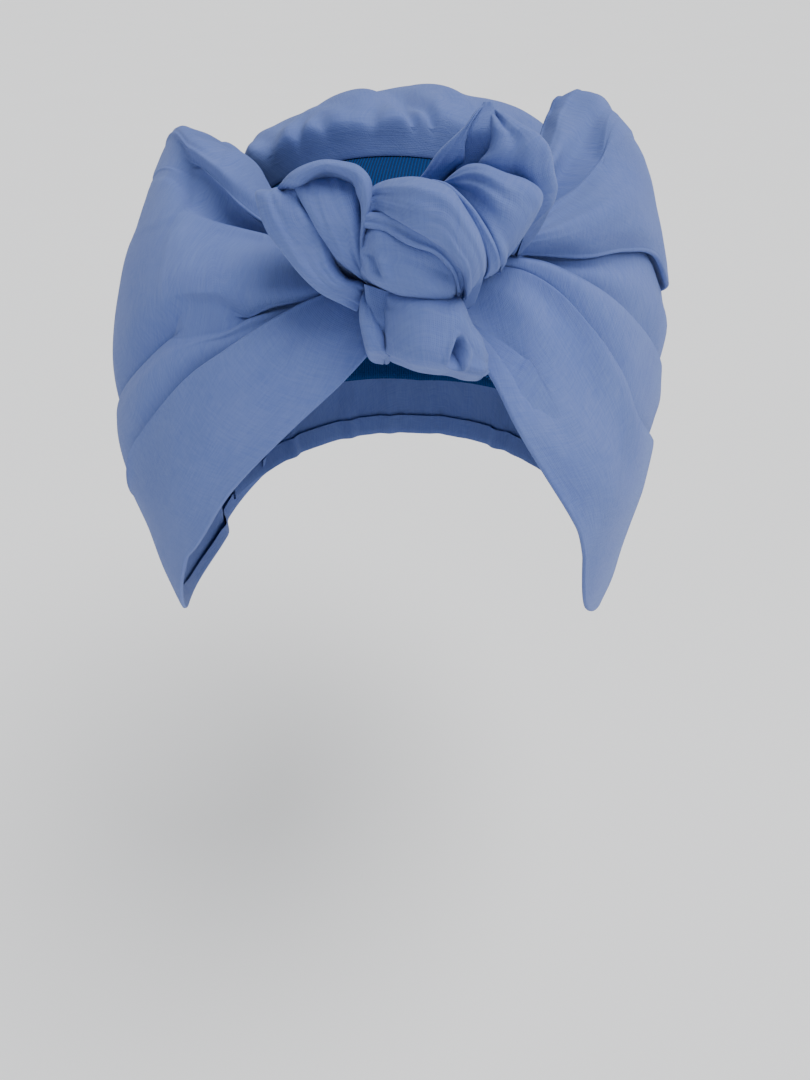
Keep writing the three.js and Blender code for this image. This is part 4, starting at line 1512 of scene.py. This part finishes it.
@dataclass(frozen=True)
class Strip:
    """A strip of folded cloth whose two edges turn back and meet behind it.

    Its sections have the columns of SECTION_COLUMNS, as shares of the knot's width: where its
    near and far edges lie in the knot's plane, how far its face stands in front of the plane
    and how far back of the face the edges turn. rear is where they meet, from the plane. What
    lies behind the edges leans down towards the head. seam is the turn of the section, in
    degrees, face_from is how far round it the front face reaches, and rings are the shares at
    which its ends close. wrinkle is in millimetres.
    """

    sections: tuple[tuple[float, ...], ...]
    rear: float = -0.12
    lean: float = 0.38
    fullness: float = 0.62
    grooves: tuple[Groove, ...] = ()
    dents: tuple[Dent, ...] = ()
    wrinkle: float = 0.3
    wrinkle_cells: tuple[tuple[float, float], ...] = ((3, 9), (5, 4))
    wrinkle_seeds: tuple[int, int] = (40, 60)
    seed: int = 1
    face_from: float = -0.2
    thinnest: float = 0.008
    shallowest: float = 0.03
    seam: tuple[float, float] = (-86, 266)
    rings: tuple[float, ...] = (0.03, 0.35, 0.75)
    along_steps: int = 110
    round_steps: int = 130

    def build(self, name: str, knot: KnotFrame) -> bpy.types.Object:
        """Builds the strip as a loft that is closed at both ends.

        Args:
            name: The part's name.
            knot: The knot's plane.

        Returns:
            The sheet.
        """
        share = np.linspace(0, 1, self.along_steps)
        column = dict(zip(SECTION_COLUMNS, curve(self.sections, share).T[..., None]))
        front, sink = column["front"], np.maximum(column["sink"], self.thinnest)
        angle = np.radians(np.linspace(*self.seam, self.round_steps))[None]
        wide = np.sign(np.cos(angle)) * np.abs(np.cos(angle)) ** self.fullness
        deep = np.sign(np.sin(angle)) * np.abs(np.sin(angle)) ** self.fullness
        side = (1 - wide) / 2
        across = column["near_across"] * (1 - side) + column["far_across"] * side
        up = column["near_up"] * (1 - side) + column["far_up"] * side
        back = np.maximum(front - sink - self.rear, self.shallowest)
        out = front - sink + np.where(deep > 0, deep * sink, deep * back)
        up = up + np.minimum(deep, 0) * back * self.lean
        points = knot.place(across, up, out)
        lift = self.relief(share[:, None], side, deep > self.face_from) * MM
        points = points + self.normals(points) * lift[..., None]
        shut = np.array(self.rings)[:, None, None]
        start, end = points[:1], points[-1:]
        head = start.mean(1, keepdims=True) * (1 - shut) + start * shut
        tail = end.mean(1, keepdims=True) * (1 - shut) + end * shut
        return grid_object(name, np.concatenate([head, points, tail[::-1]]))

    @staticmethod
    def normals(points: np.ndarray) -> np.ndarray:
        """Works out a grid's normals, turned out from the strip's middle line.

        Args:
            points: The grid.

        Returns:
            The normals.
        """
        normal = unit(np.cross(np.gradient(points, axis=0), np.gradient(points, axis=1)))
        centre = points.mean(axis=1, keepdims=True)
        flip = np.sign(((points - centre) * normal).sum(-1).mean())
        return normal * (flip if flip else 1.0)

    def relief(self, along: np.ndarray, side: np.ndarray, shown: np.ndarray) -> np.ndarray:
        """Adds up the strip's grooves, dents and fine wrinkles.

        Args:
            along: Share along the strip.
            side: Share from its near to its far edge.
            shown: Where the front face is.

        Returns:
            A length along the normal, in millimetres.
        """
        total = np.zeros(np.broadcast(along, side).shape)
        for cells, shift, seed in zip(self.wrinkle_cells, (self.seed, 3), self.wrinkle_seeds):
            wrinkles = noise(along * cells[0] + shift, side * cells[1], self.seed + seed)
            total = total + wrinkles * self.wrinkle
        for groove in self.grooves:
            middle = groove.at[0] + (groove.at[1] - groove.at[0]) * along
            held = rise(along, groove.end) * rise(1 - along, groove.end)
            total = total - groove.depth * bell(side - middle, groove.width) * held
        for dent in self.dents:
            line = np.array(dent.end) - np.array(dent.start)
            x, y = along - dent.start[0], side - dent.start[1]
            t = np.clip((x * line[0] + y * line[1]) / (line @ line), 0, 1)
            away = np.hypot(x - t * line[0], y - t * line[1]) / dent.width
            lip = dent.lip * bell(away - dent.lip_place, dent.lip_width)
            total = total - dent.depth * (bell(away, 1) - lip)
        return np.where(shown, total, 0.0)


@dataclass(frozen=True)
class KnotPiece:
    """One lobe of the knot, made of one or more strips."""

    node: str
    flat: tuple[float, float]
    strips: tuple[Strip, ...]
    rests_on: tuple[str, ...] = ("left_side_wrap_cloth", "right_side_wrap_cloth")

    def build(self, knot: KnotFrame, wardrobe: Wardrobe) -> bpy.types.Object:
        """Builds the lobe.

        Args:
            knot: The knot's plane.
            wardrobe: The finishes.

        Returns:
            The piece.
        """
        sheet = Sheet(self.node, self.flat, Hold.FOLDED, self.rests_on)
        parts = [strip.build(sheet.name, knot) for strip in self.strips]
        return sheet.declare(joined(sheet.name, parts), wardrobe)


# the strand down the knot's left side
LEFT_STRAND = Strip(
    (
        (-0.56, 0.185, -0.435, 0.2, 0.0, 0.02),
        (-0.565, 0.17, -0.405, 0.185, 0.1, 0.06),
        (-0.555, 0.12, -0.375, 0.14, 0.12, 0.07),
        (-0.53, 0.055, -0.34, 0.09, 0.125, 0.07),
        (-0.485, -0.015, -0.32, 0.025, 0.12, 0.07),
        (-0.435, -0.085, -0.31, -0.045, 0.12, 0.08),
        (-0.37, -0.14, -0.275, -0.095, 0.11, 0.07),
        (-0.295, -0.175, -0.22, -0.11, 0.08, 0.05),
        (-0.245, -0.2, -0.2, -0.14, 0.03, 0.03),
    ),
    rear=-0.14,
    lean=0.0,
    dents=(Dent((0.12, 0.6), (0.22, 0.85), 1.0, 0.09),),
    seed=2,
)
# the left loop's rolled rim
LEFT_RIM = Strip(
    (
        (-0.53, 0.165, -0.485, 0.16, 0.0, 0.04),
        (-0.495, 0.19, -0.445, 0.175, 0.08, 0.05),
        (-0.45, 0.225, -0.41, 0.19, 0.15, 0.06),
        (-0.4, 0.25, -0.37, 0.215, 0.17, 0.06),
        (-0.335, 0.265, -0.33, 0.23, 0.18, 0.06),
        (-0.27, 0.26, -0.285, 0.22, 0.19, 0.06),
        (-0.22, 0.245, -0.245, 0.2, 0.2, 0.06),
        (-0.185, 0.205, -0.23, 0.165, 0.21, 0.06),
        (-0.18, 0.145, -0.22, 0.135, 0.21, 0.06),
        (-0.195, 0.08, -0.22, 0.085, 0.2, 0.05),
        (-0.21, 0.025, -0.225, 0.025, 0.18, 0.04),
        (-0.21, -0.04, -0.225, -0.035, 0.15, 0.03),
        (-0.2, -0.1, -0.21, -0.095, 0.1, 0.02),
    ),
    rear=-0.1,
    fullness=0.9,
    wrinkle=0.15,
    seed=3,
    along_steps=160,
    round_steps=70,
)
# the cloth inside that rim
LEFT_POCKET = Strip(
    (
        (-0.45, 0.235, -0.26, 0.255, 0.0, 0.03),
        (-0.445, 0.205, -0.235, 0.225, 0.08, 0.04),
        (-0.425, 0.17, -0.225, 0.185, 0.13, 0.045),
        (-0.405, 0.125, -0.22, 0.15, 0.155, 0.05),
        (-0.375, 0.075, -0.22, 0.085, 0.165, 0.05),
        (-0.34, 0.02, -0.215, 0.025, 0.15, 0.05),
        (-0.305, -0.035, -0.21, -0.035, 0.13, 0.04),
        (-0.26, -0.075, -0.205, -0.08, 0.09, 0.03),
        (-0.215, -0.105, -0.2, -0.105, 0.05, 0.02),
    ),
    rear=-0.2,
    seed=4,
)
# the band over the middle
OVER_BAND = Strip(
    (
        (-0.195, 0.17, -0.2, 0.1, 0.19, 0.05),
        (-0.17, 0.19, -0.17, 0.11, 0.2, 0.1),
        (-0.115, 0.2, -0.115, 0.085, 0.27, 0.13),
        (-0.05, 0.205, -0.065, 0.055, 0.32, 0.16),
        (0.01, 0.195, -0.01, 0.025, 0.34, 0.17),
        (0.065, 0.17, 0.035, -0.005, 0.35, 0.17),
        (0.115, 0.11, 0.07, -0.045, 0.34, 0.16),
        (0.16, 0.045, 0.1, -0.08, 0.31, 0.14),
        (0.185, -0.02, 0.11, -0.115, 0.27, 0.12),
        (0.185, -0.08, 0.115, -0.145, 0.2, 0.1),
        (0.14, -0.14, 0.115, -0.15, 0.1, 0.05),
    ),
    grooves=(Groove((0.35, 0.4), 0.35, 0.1), Groove((0.62, 0.7), 0.3, 0.09)),
    rear=-0.3,
    seed=5,
    along_steps=150,
)
# the narrow pleat between the bands
PLEAT = Strip(
    (
        (-0.205, 0.11, -0.21, 0.065, 0.2, 0.03),
        (-0.128, 0.105, -0.145, 0.05, 0.23, 0.03),
        (-0.078, 0.085, -0.095, 0.025, 0.262, 0.03),
        (-0.028, 0.055, -0.045, 0.005, 0.278, 0.03),
        (0.022, 0.025, 0.005, -0.01, 0.278, 0.02),
        (0.067, -0.015, 0.045, -0.04, 0.268, 0.02),
        (0.097, -0.055, 0.075, -0.08, 0.24, 0.02),
        (0.122, -0.11, 0.09, -0.135, 0.18, 0.02),
    ),
    rear=0.05,
    grooves=(Groove((0.55, 0.5), 0.6, 0.15),),
    wrinkle=0.12,
    seed=6,
    along_steps=130,
    round_steps=50,
)
# the wadded cloth behind the bands
WAD = Strip(
    (
        (-0.36, 0.12, -0.34, 0.07, -0.06, 0.04),
        (-0.32, 0.17, -0.3, 0.03, 0.0, 0.08),
        (-0.24, 0.19, -0.22, -0.04, 0.09, 0.1),
        (-0.16, 0.17, -0.16, -0.1, 0.13, 0.12),
        (-0.05, 0.17, -0.08, -0.18, 0.13, 0.12),
        (0.06, 0.18, 0.03, -0.22, 0.11, 0.12),
        (0.14, 0.2, 0.08, -0.19, 0.06, 0.1),
        (0.2, 0.2, 0.12, -0.12, 0.0, 0.08),
        (0.24, 0.15, 0.17, -0.04, -0.06, 0.04),
    ),
    rear=-0.28,
    seed=17,
    along_steps=60,
    round_steps=60,
)
# the band under the pleat
UNDER_BAND = Strip(
    (
        (-0.215, 0.07, -0.22, -0.065, 0.165, 0.05),
        (-0.17, 0.092, -0.185, -0.105, 0.21, 0.1),
        (-0.112, 0.077, -0.13, -0.135, 0.235, 0.13),
        (-0.052, 0.052, -0.07, -0.15, 0.255, 0.14),
        (0.008, 0.027, -0.01, -0.16, 0.255, 0.14),
        (0.058, -0.003, 0.035, -0.165, 0.23, 0.12),
        (0.093, -0.048, 0.07, -0.165, 0.2, 0.1),
        (0.118, -0.098, 0.09, -0.17, 0.1, 0.05),
    ),
    dents=(Dent((0.1, 0.6), (0.16, 0.8), 1.3, 0.05),),
    rear=-0.25,
    seed=7,
)
# the tucked end with its small pocket
TUCKED_END = Strip(
    (
        (-0.145, -0.13, -0.155, -0.315, 0.1, 0.06),
        (-0.125, -0.132, -0.135, -0.345, 0.16, 0.1),
        (-0.075, -0.135, -0.09, -0.36, 0.22, 0.14),
        (-0.015, -0.142, -0.035, -0.375, 0.25, 0.15),
        (0.05, -0.15, 0.025, -0.385, 0.25, 0.15),
        (0.105, -0.155, 0.08, -0.39, 0.23, 0.13),
        (0.145, -0.23, 0.14, -0.41, 0.2, 0.12),
        (0.185, -0.28, 0.19, -0.415, 0.16, 0.1),
        (0.21, -0.33, 0.215, -0.405, 0.08, 0.05),
    ),
    dents=(Dent((0.66, 0.5), (0.63, 0.85), 3.4, 0.032),),
    rear=-0.14,
    seed=9,
    along_steps=170,
    round_steps=150,
)
# the fold at the end's left side
TUCK_SIDE = Strip(
    (
        (-0.21, -0.12, -0.19, -0.135, 0.04, 0.02),
        (-0.23, -0.17, -0.19, -0.18, 0.1, 0.04),
        (-0.235, -0.225, -0.175, -0.225, 0.13, 0.05),
        (-0.225, -0.285, -0.15, -0.275, 0.14, 0.06),
        (-0.21, -0.335, -0.145, -0.32, 0.12, 0.05),
        (-0.175, -0.355, -0.13, -0.355, 0.05, 0.02),
    ),
    rear=-0.1,
    seed=10,
    wrinkle=0.15,
    along_steps=80,
    round_steps=60,
)
# the cloth behind that fold
TUCK_BACK = Strip(
    (
        (-0.215, -0.11, -0.115, -0.14, 0.11, 0.02),
        (-0.21, -0.175, -0.12, -0.19, 0.11, 0.02),
        (-0.185, -0.235, -0.125, -0.235, 0.12, 0.02),
        (-0.165, -0.285, -0.135, -0.285, 0.1, 0.02),
    ),
    rear=-0.05,
    wrinkle=0.1,
    seed=11,
    along_steps=50,
    round_steps=40,
)
# the folded end on the right
RIGHT_FOLD = Strip(
    (
        (0.03, 0.2, 0.05, 0.185, 0.12, 0.03),
        (0.065, 0.225, 0.095, 0.145, 0.18, 0.05),
        (0.115, 0.25, 0.13, 0.105, 0.22, 0.07),
        (0.17, 0.25, 0.165, 0.055, 0.25, 0.08),
        (0.235, 0.225, 0.19, 0.01, 0.26, 0.09),
        (0.3, 0.2, 0.21, -0.025, 0.25, 0.09),
        (0.35, 0.16, 0.225, -0.05, 0.22, 0.08),
        (0.34, 0.1, 0.235, -0.065, 0.18, 0.07),
        (0.295, 0.025, 0.24, -0.07, 0.12, 0.05),
        (0.27, -0.01, 0.245, -0.075, 0.06, 0.03),
    ),
    grooves=(Groove((0.6, 0.75), 0.8, 0.13), Groove((0.3, 0.45), 0.4, 0.15)),
    rear=-0.24,
    lean=0.1,
    seed=12,
    along_steps=140,
)
# the rolled rim before it
FOLD_RIM = Strip(
    (
        (0.005, 0.2, -0.005, 0.195, 0.22, 0.03),
        (0.06, 0.185, 0.04, 0.18, 0.25, 0.04),
        (0.125, 0.13, 0.095, 0.125, 0.27, 0.05),
        (0.165, 0.08, 0.125, 0.07, 0.27, 0.05),
        (0.195, 0.03, 0.155, 0.025, 0.26, 0.05),
        (0.22, -0.01, 0.175, -0.02, 0.24, 0.05),
        (0.23, -0.045, 0.185, -0.065, 0.2, 0.05),
        (0.225, -0.07, 0.185, -0.09, 0.12, 0.04),
    ),
    rear=0.08,
    wrinkle=0.12,
    seed=13,
    along_steps=110,
    round_steps=50,
)
# the tall loop's left rim
LOOP_RIM = Strip(
    (
        (-0.045, 0.2, 0.035, 0.2, 0.06, 0.02),
        (-0.015, 0.235, 0.08, 0.245, 0.1, 0.03),
        (0.02, 0.285, 0.11, 0.265, 0.13, 0.03),
        (0.065, 0.325, 0.11, 0.31, 0.15, 0.02),
        (0.11, 0.365, 0.12, 0.355, 0.16, 0.02),
        (0.14, 0.4, 0.145, 0.395, 0.15, 0.02),
        (0.165, 0.42, 0.17, 0.415, 0.12, 0.02),
    ),
    rear=-0.3,
    wrinkle=0.15,
    seed=14,
    along_steps=80,
    round_steps=60,
)
# its broad right side
LOOP_FACE = Strip(
    (
        (0.17, 0.415, 0.18, 0.425, 0.1, 0.02),
        (0.19, 0.38, 0.23, 0.39, 0.16, 0.03),
        (0.19, 0.35, 0.285, 0.355, 0.2, 0.05),
        (0.19, 0.32, 0.34, 0.33, 0.21, 0.07),
        (0.18, 0.285, 0.375, 0.29, 0.21, 0.08),
        (0.155, 0.255, 0.395, 0.23, 0.19, 0.08),
        (0.155, 0.22, 0.41, 0.18, 0.16, 0.08),
        (0.195, 0.16, 0.4, 0.13, 0.12, 0.06),
        (0.31, 0.09, 0.37, 0.095, 0.04, 0.03),
    ),
    grooves=(Groove((0.35, 0.45), 0.7, 0.15),),
    rear=-0.32,
    seed=15,
    along_steps=140,
)
# the cloth inside it
LOOP_POCKET = Strip(
    (
        (0.08, 0.215, 0.2, 0.215, 0.06, 0.01),
        (0.085, 0.265, 0.2, 0.265, 0.09, 0.01),
        (0.09, 0.31, 0.21, 0.3, 0.115, 0.01),
        (0.105, 0.345, 0.22, 0.335, 0.145, 0.01),
        (0.125, 0.38, 0.215, 0.37, 0.145, 0.01),
        (0.155, 0.41, 0.2, 0.405, 0.135, 0.01),
        (0.16, 0.425, 0.19, 0.425, 0.13, 0.01),
    ),
    rear=0.0,
    wrinkle=0.1,
    seed=16,
    along_steps=60,
    round_steps=40,
)

KNOT_PIECES = (
    KnotPiece("knot_left_strand", (0.032, 0.052), (LEFT_STRAND,)),
    KnotPiece("knot_left_loop", (0.052, 0.055), (LEFT_RIM, LEFT_POCKET)),
    KnotPiece("knot_over_band", (0.046, 0.06), (OVER_BAND,)),
    KnotPiece("knot_pleat", (0.029, 0.025), (PLEAT,)),
    KnotPiece("knot_under_band", (0.06, 0.085), (WAD, UNDER_BAND)),
    KnotPiece("knot_lower_tuck", (0.04, 0.064), (TUCKED_END, TUCK_SIDE, TUCK_BACK)),
    KnotPiece("knot_right_fold", (0.045, 0.058), (RIGHT_FOLD, FOLD_RIM)),
    KnotPiece("knot_right_loop", (0.05, 0.066), (LOOP_RIM, LOOP_FACE, LOOP_POCKET)),
)


@dataclass(frozen=True)
class Studio:
    """A pale floor, soft light from above and the camera."""

    floor_level: float = -0.36
    floor_size: float = 30.0
    lens: float = 27.07
    sensor: float = 36.0
    distance: float = 0.245
    height: float = 0.048
    azimuth: float = math.radians(5.5)
    pitch: float = math.radians(36.3)
    shift: float = 5 / 1080
    near_clip: float = 0.01
    floor_tones: tuple[float, float] = (0.94, 0.97)
    floor_cells: float = 3
    floor_roughness: float = 0.9
    sky: float = 0.5
    sky_colour: tuple[float, float, float, float] = (0.95, 0.97, 1.0, 1.0)
    sun_power: float = 3.2
    sun_spread: float = math.radians(50)
    sun_from: tuple[float, float, float] = (0.4, -0.15, 0.9)

    def floor(self) -> None:
        """Lays the floor."""
        mesh = bpy.data.meshes.new("floor")
        half = self.floor_size / 2
        square = [(-half, -half, 0), (half, -half, 0), (half, half, 0), (-half, half, 0)]
        mesh.from_pydata(square, [], [(0, 1, 2, 3)])
        floor = bpy.data.objects.new("floor", mesh)
        floor.location = (0, 0, self.floor_level)
        bpy.context.scene.collection.objects.link(floor)
        n = Nodes("pale_floor")
        shade = n.noise(n.add("ShaderNodeTexCoord").outputs["Object"], self.floor_cells, 2)
        low, high = ((tone, tone, tone) for tone in self.floor_tones)
        n.dress(Base_Color=n.blend(shade, low, high), Roughness=self.floor_roughness)
        mesh.materials.append(n.material)

    def lights(self) -> None:
        """Adds the sky and one broad soft light from above."""
        world = bpy.data.worlds.new("soft_sky")
        world.use_nodes = True
        background = world.node_tree.nodes["Background"]
        background.inputs["Color"].default_value = self.sky_colour
        background.inputs["Strength"].default_value = self.sky
        bpy.context.scene.world = world
        data = bpy.data.lights.new("soft_sun", "SUN")
        data.energy = self.sun_power
        data.angle = self.sun_spread
        light = bpy.data.objects.new("soft_sun", data)
        light.rotation_euler = Vector(self.sun_from).to_track_quat("Z", "Y").to_euler()
        bpy.context.scene.collection.objects.link(light)

    def camera(self) -> None:
        """Sets the camera where the view is taken from."""
        data = bpy.data.cameras.new("camera")
        data.lens = self.lens
        data.sensor_width = self.sensor
        data.shift_x = self.shift
        data.clip_start = self.near_clip
        camera = bpy.data.objects.new("camera", data)
        aside, ahead = math.sin(self.azimuth), math.cos(self.azimuth)
        level, down = math.cos(self.pitch), math.sin(self.pitch)
        forward = Vector((-aside * level, ahead * level, -down))
        right = Vector((ahead, aside, 0))
        axes = Matrix((right, right.cross(forward), -forward)).transposed()
        place = Vector((self.distance * aside, -self.distance * ahead, self.height))
        camera.matrix_world = Matrix.Translation(place) @ axes.to_4x4()
        bpy.context.scene.collection.objects.link(camera)
        bpy.context.scene.camera = camera

    def build(self) -> None:
        """Sets up the whole studio."""
        self.floor()
        self.lights()
        self.camera()


def main() -> None:
    """Builds every piece in order and reports it."""
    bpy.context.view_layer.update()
    wardrobe = Wardrobe.made()
    head = HeadForm()
    cap, panel, knot = InnerCap(head), BackPanel(head), KnotFrame(head)
    under = ("inner_cap_knit", "back_panel_cloth")
    left = SideWrap(
        sheet=Sheet("left_side_wrap", (0.225, 0.15), Hold.FOLDED, under),
        head=head,
        cap=cap,
        panel=panel,
        lines=LEFT_LINES,
        creases=LEFT_CREASES,
        seed=21,
        gather=(-1, 39, 0.1),
    )
    right = SideWrap(
        sheet=Sheet("right_side_wrap", (0.215, 0.145), Hold.FOLDED, under),
        head=head,
        cap=cap,
        panel=panel,
        lines=RIGHT_LINES,
        creases=RIGHT_CREASES,
        seed=31,
        gather=(23, 38, 0.1),
    )
    pieces = [part.build(wardrobe) for part in (cap, panel, left, right)]
    pieces += [part.build(knot, wardrobe) for part in KNOT_PIECES]
    for piece in pieces:
        LOG.info("built %s with %d faces", piece.name, len(piece.data.polygons))
    Studio().build()


if __name__ == "__main__":
    logging.basicConfig(level=logging.INFO)
    main()
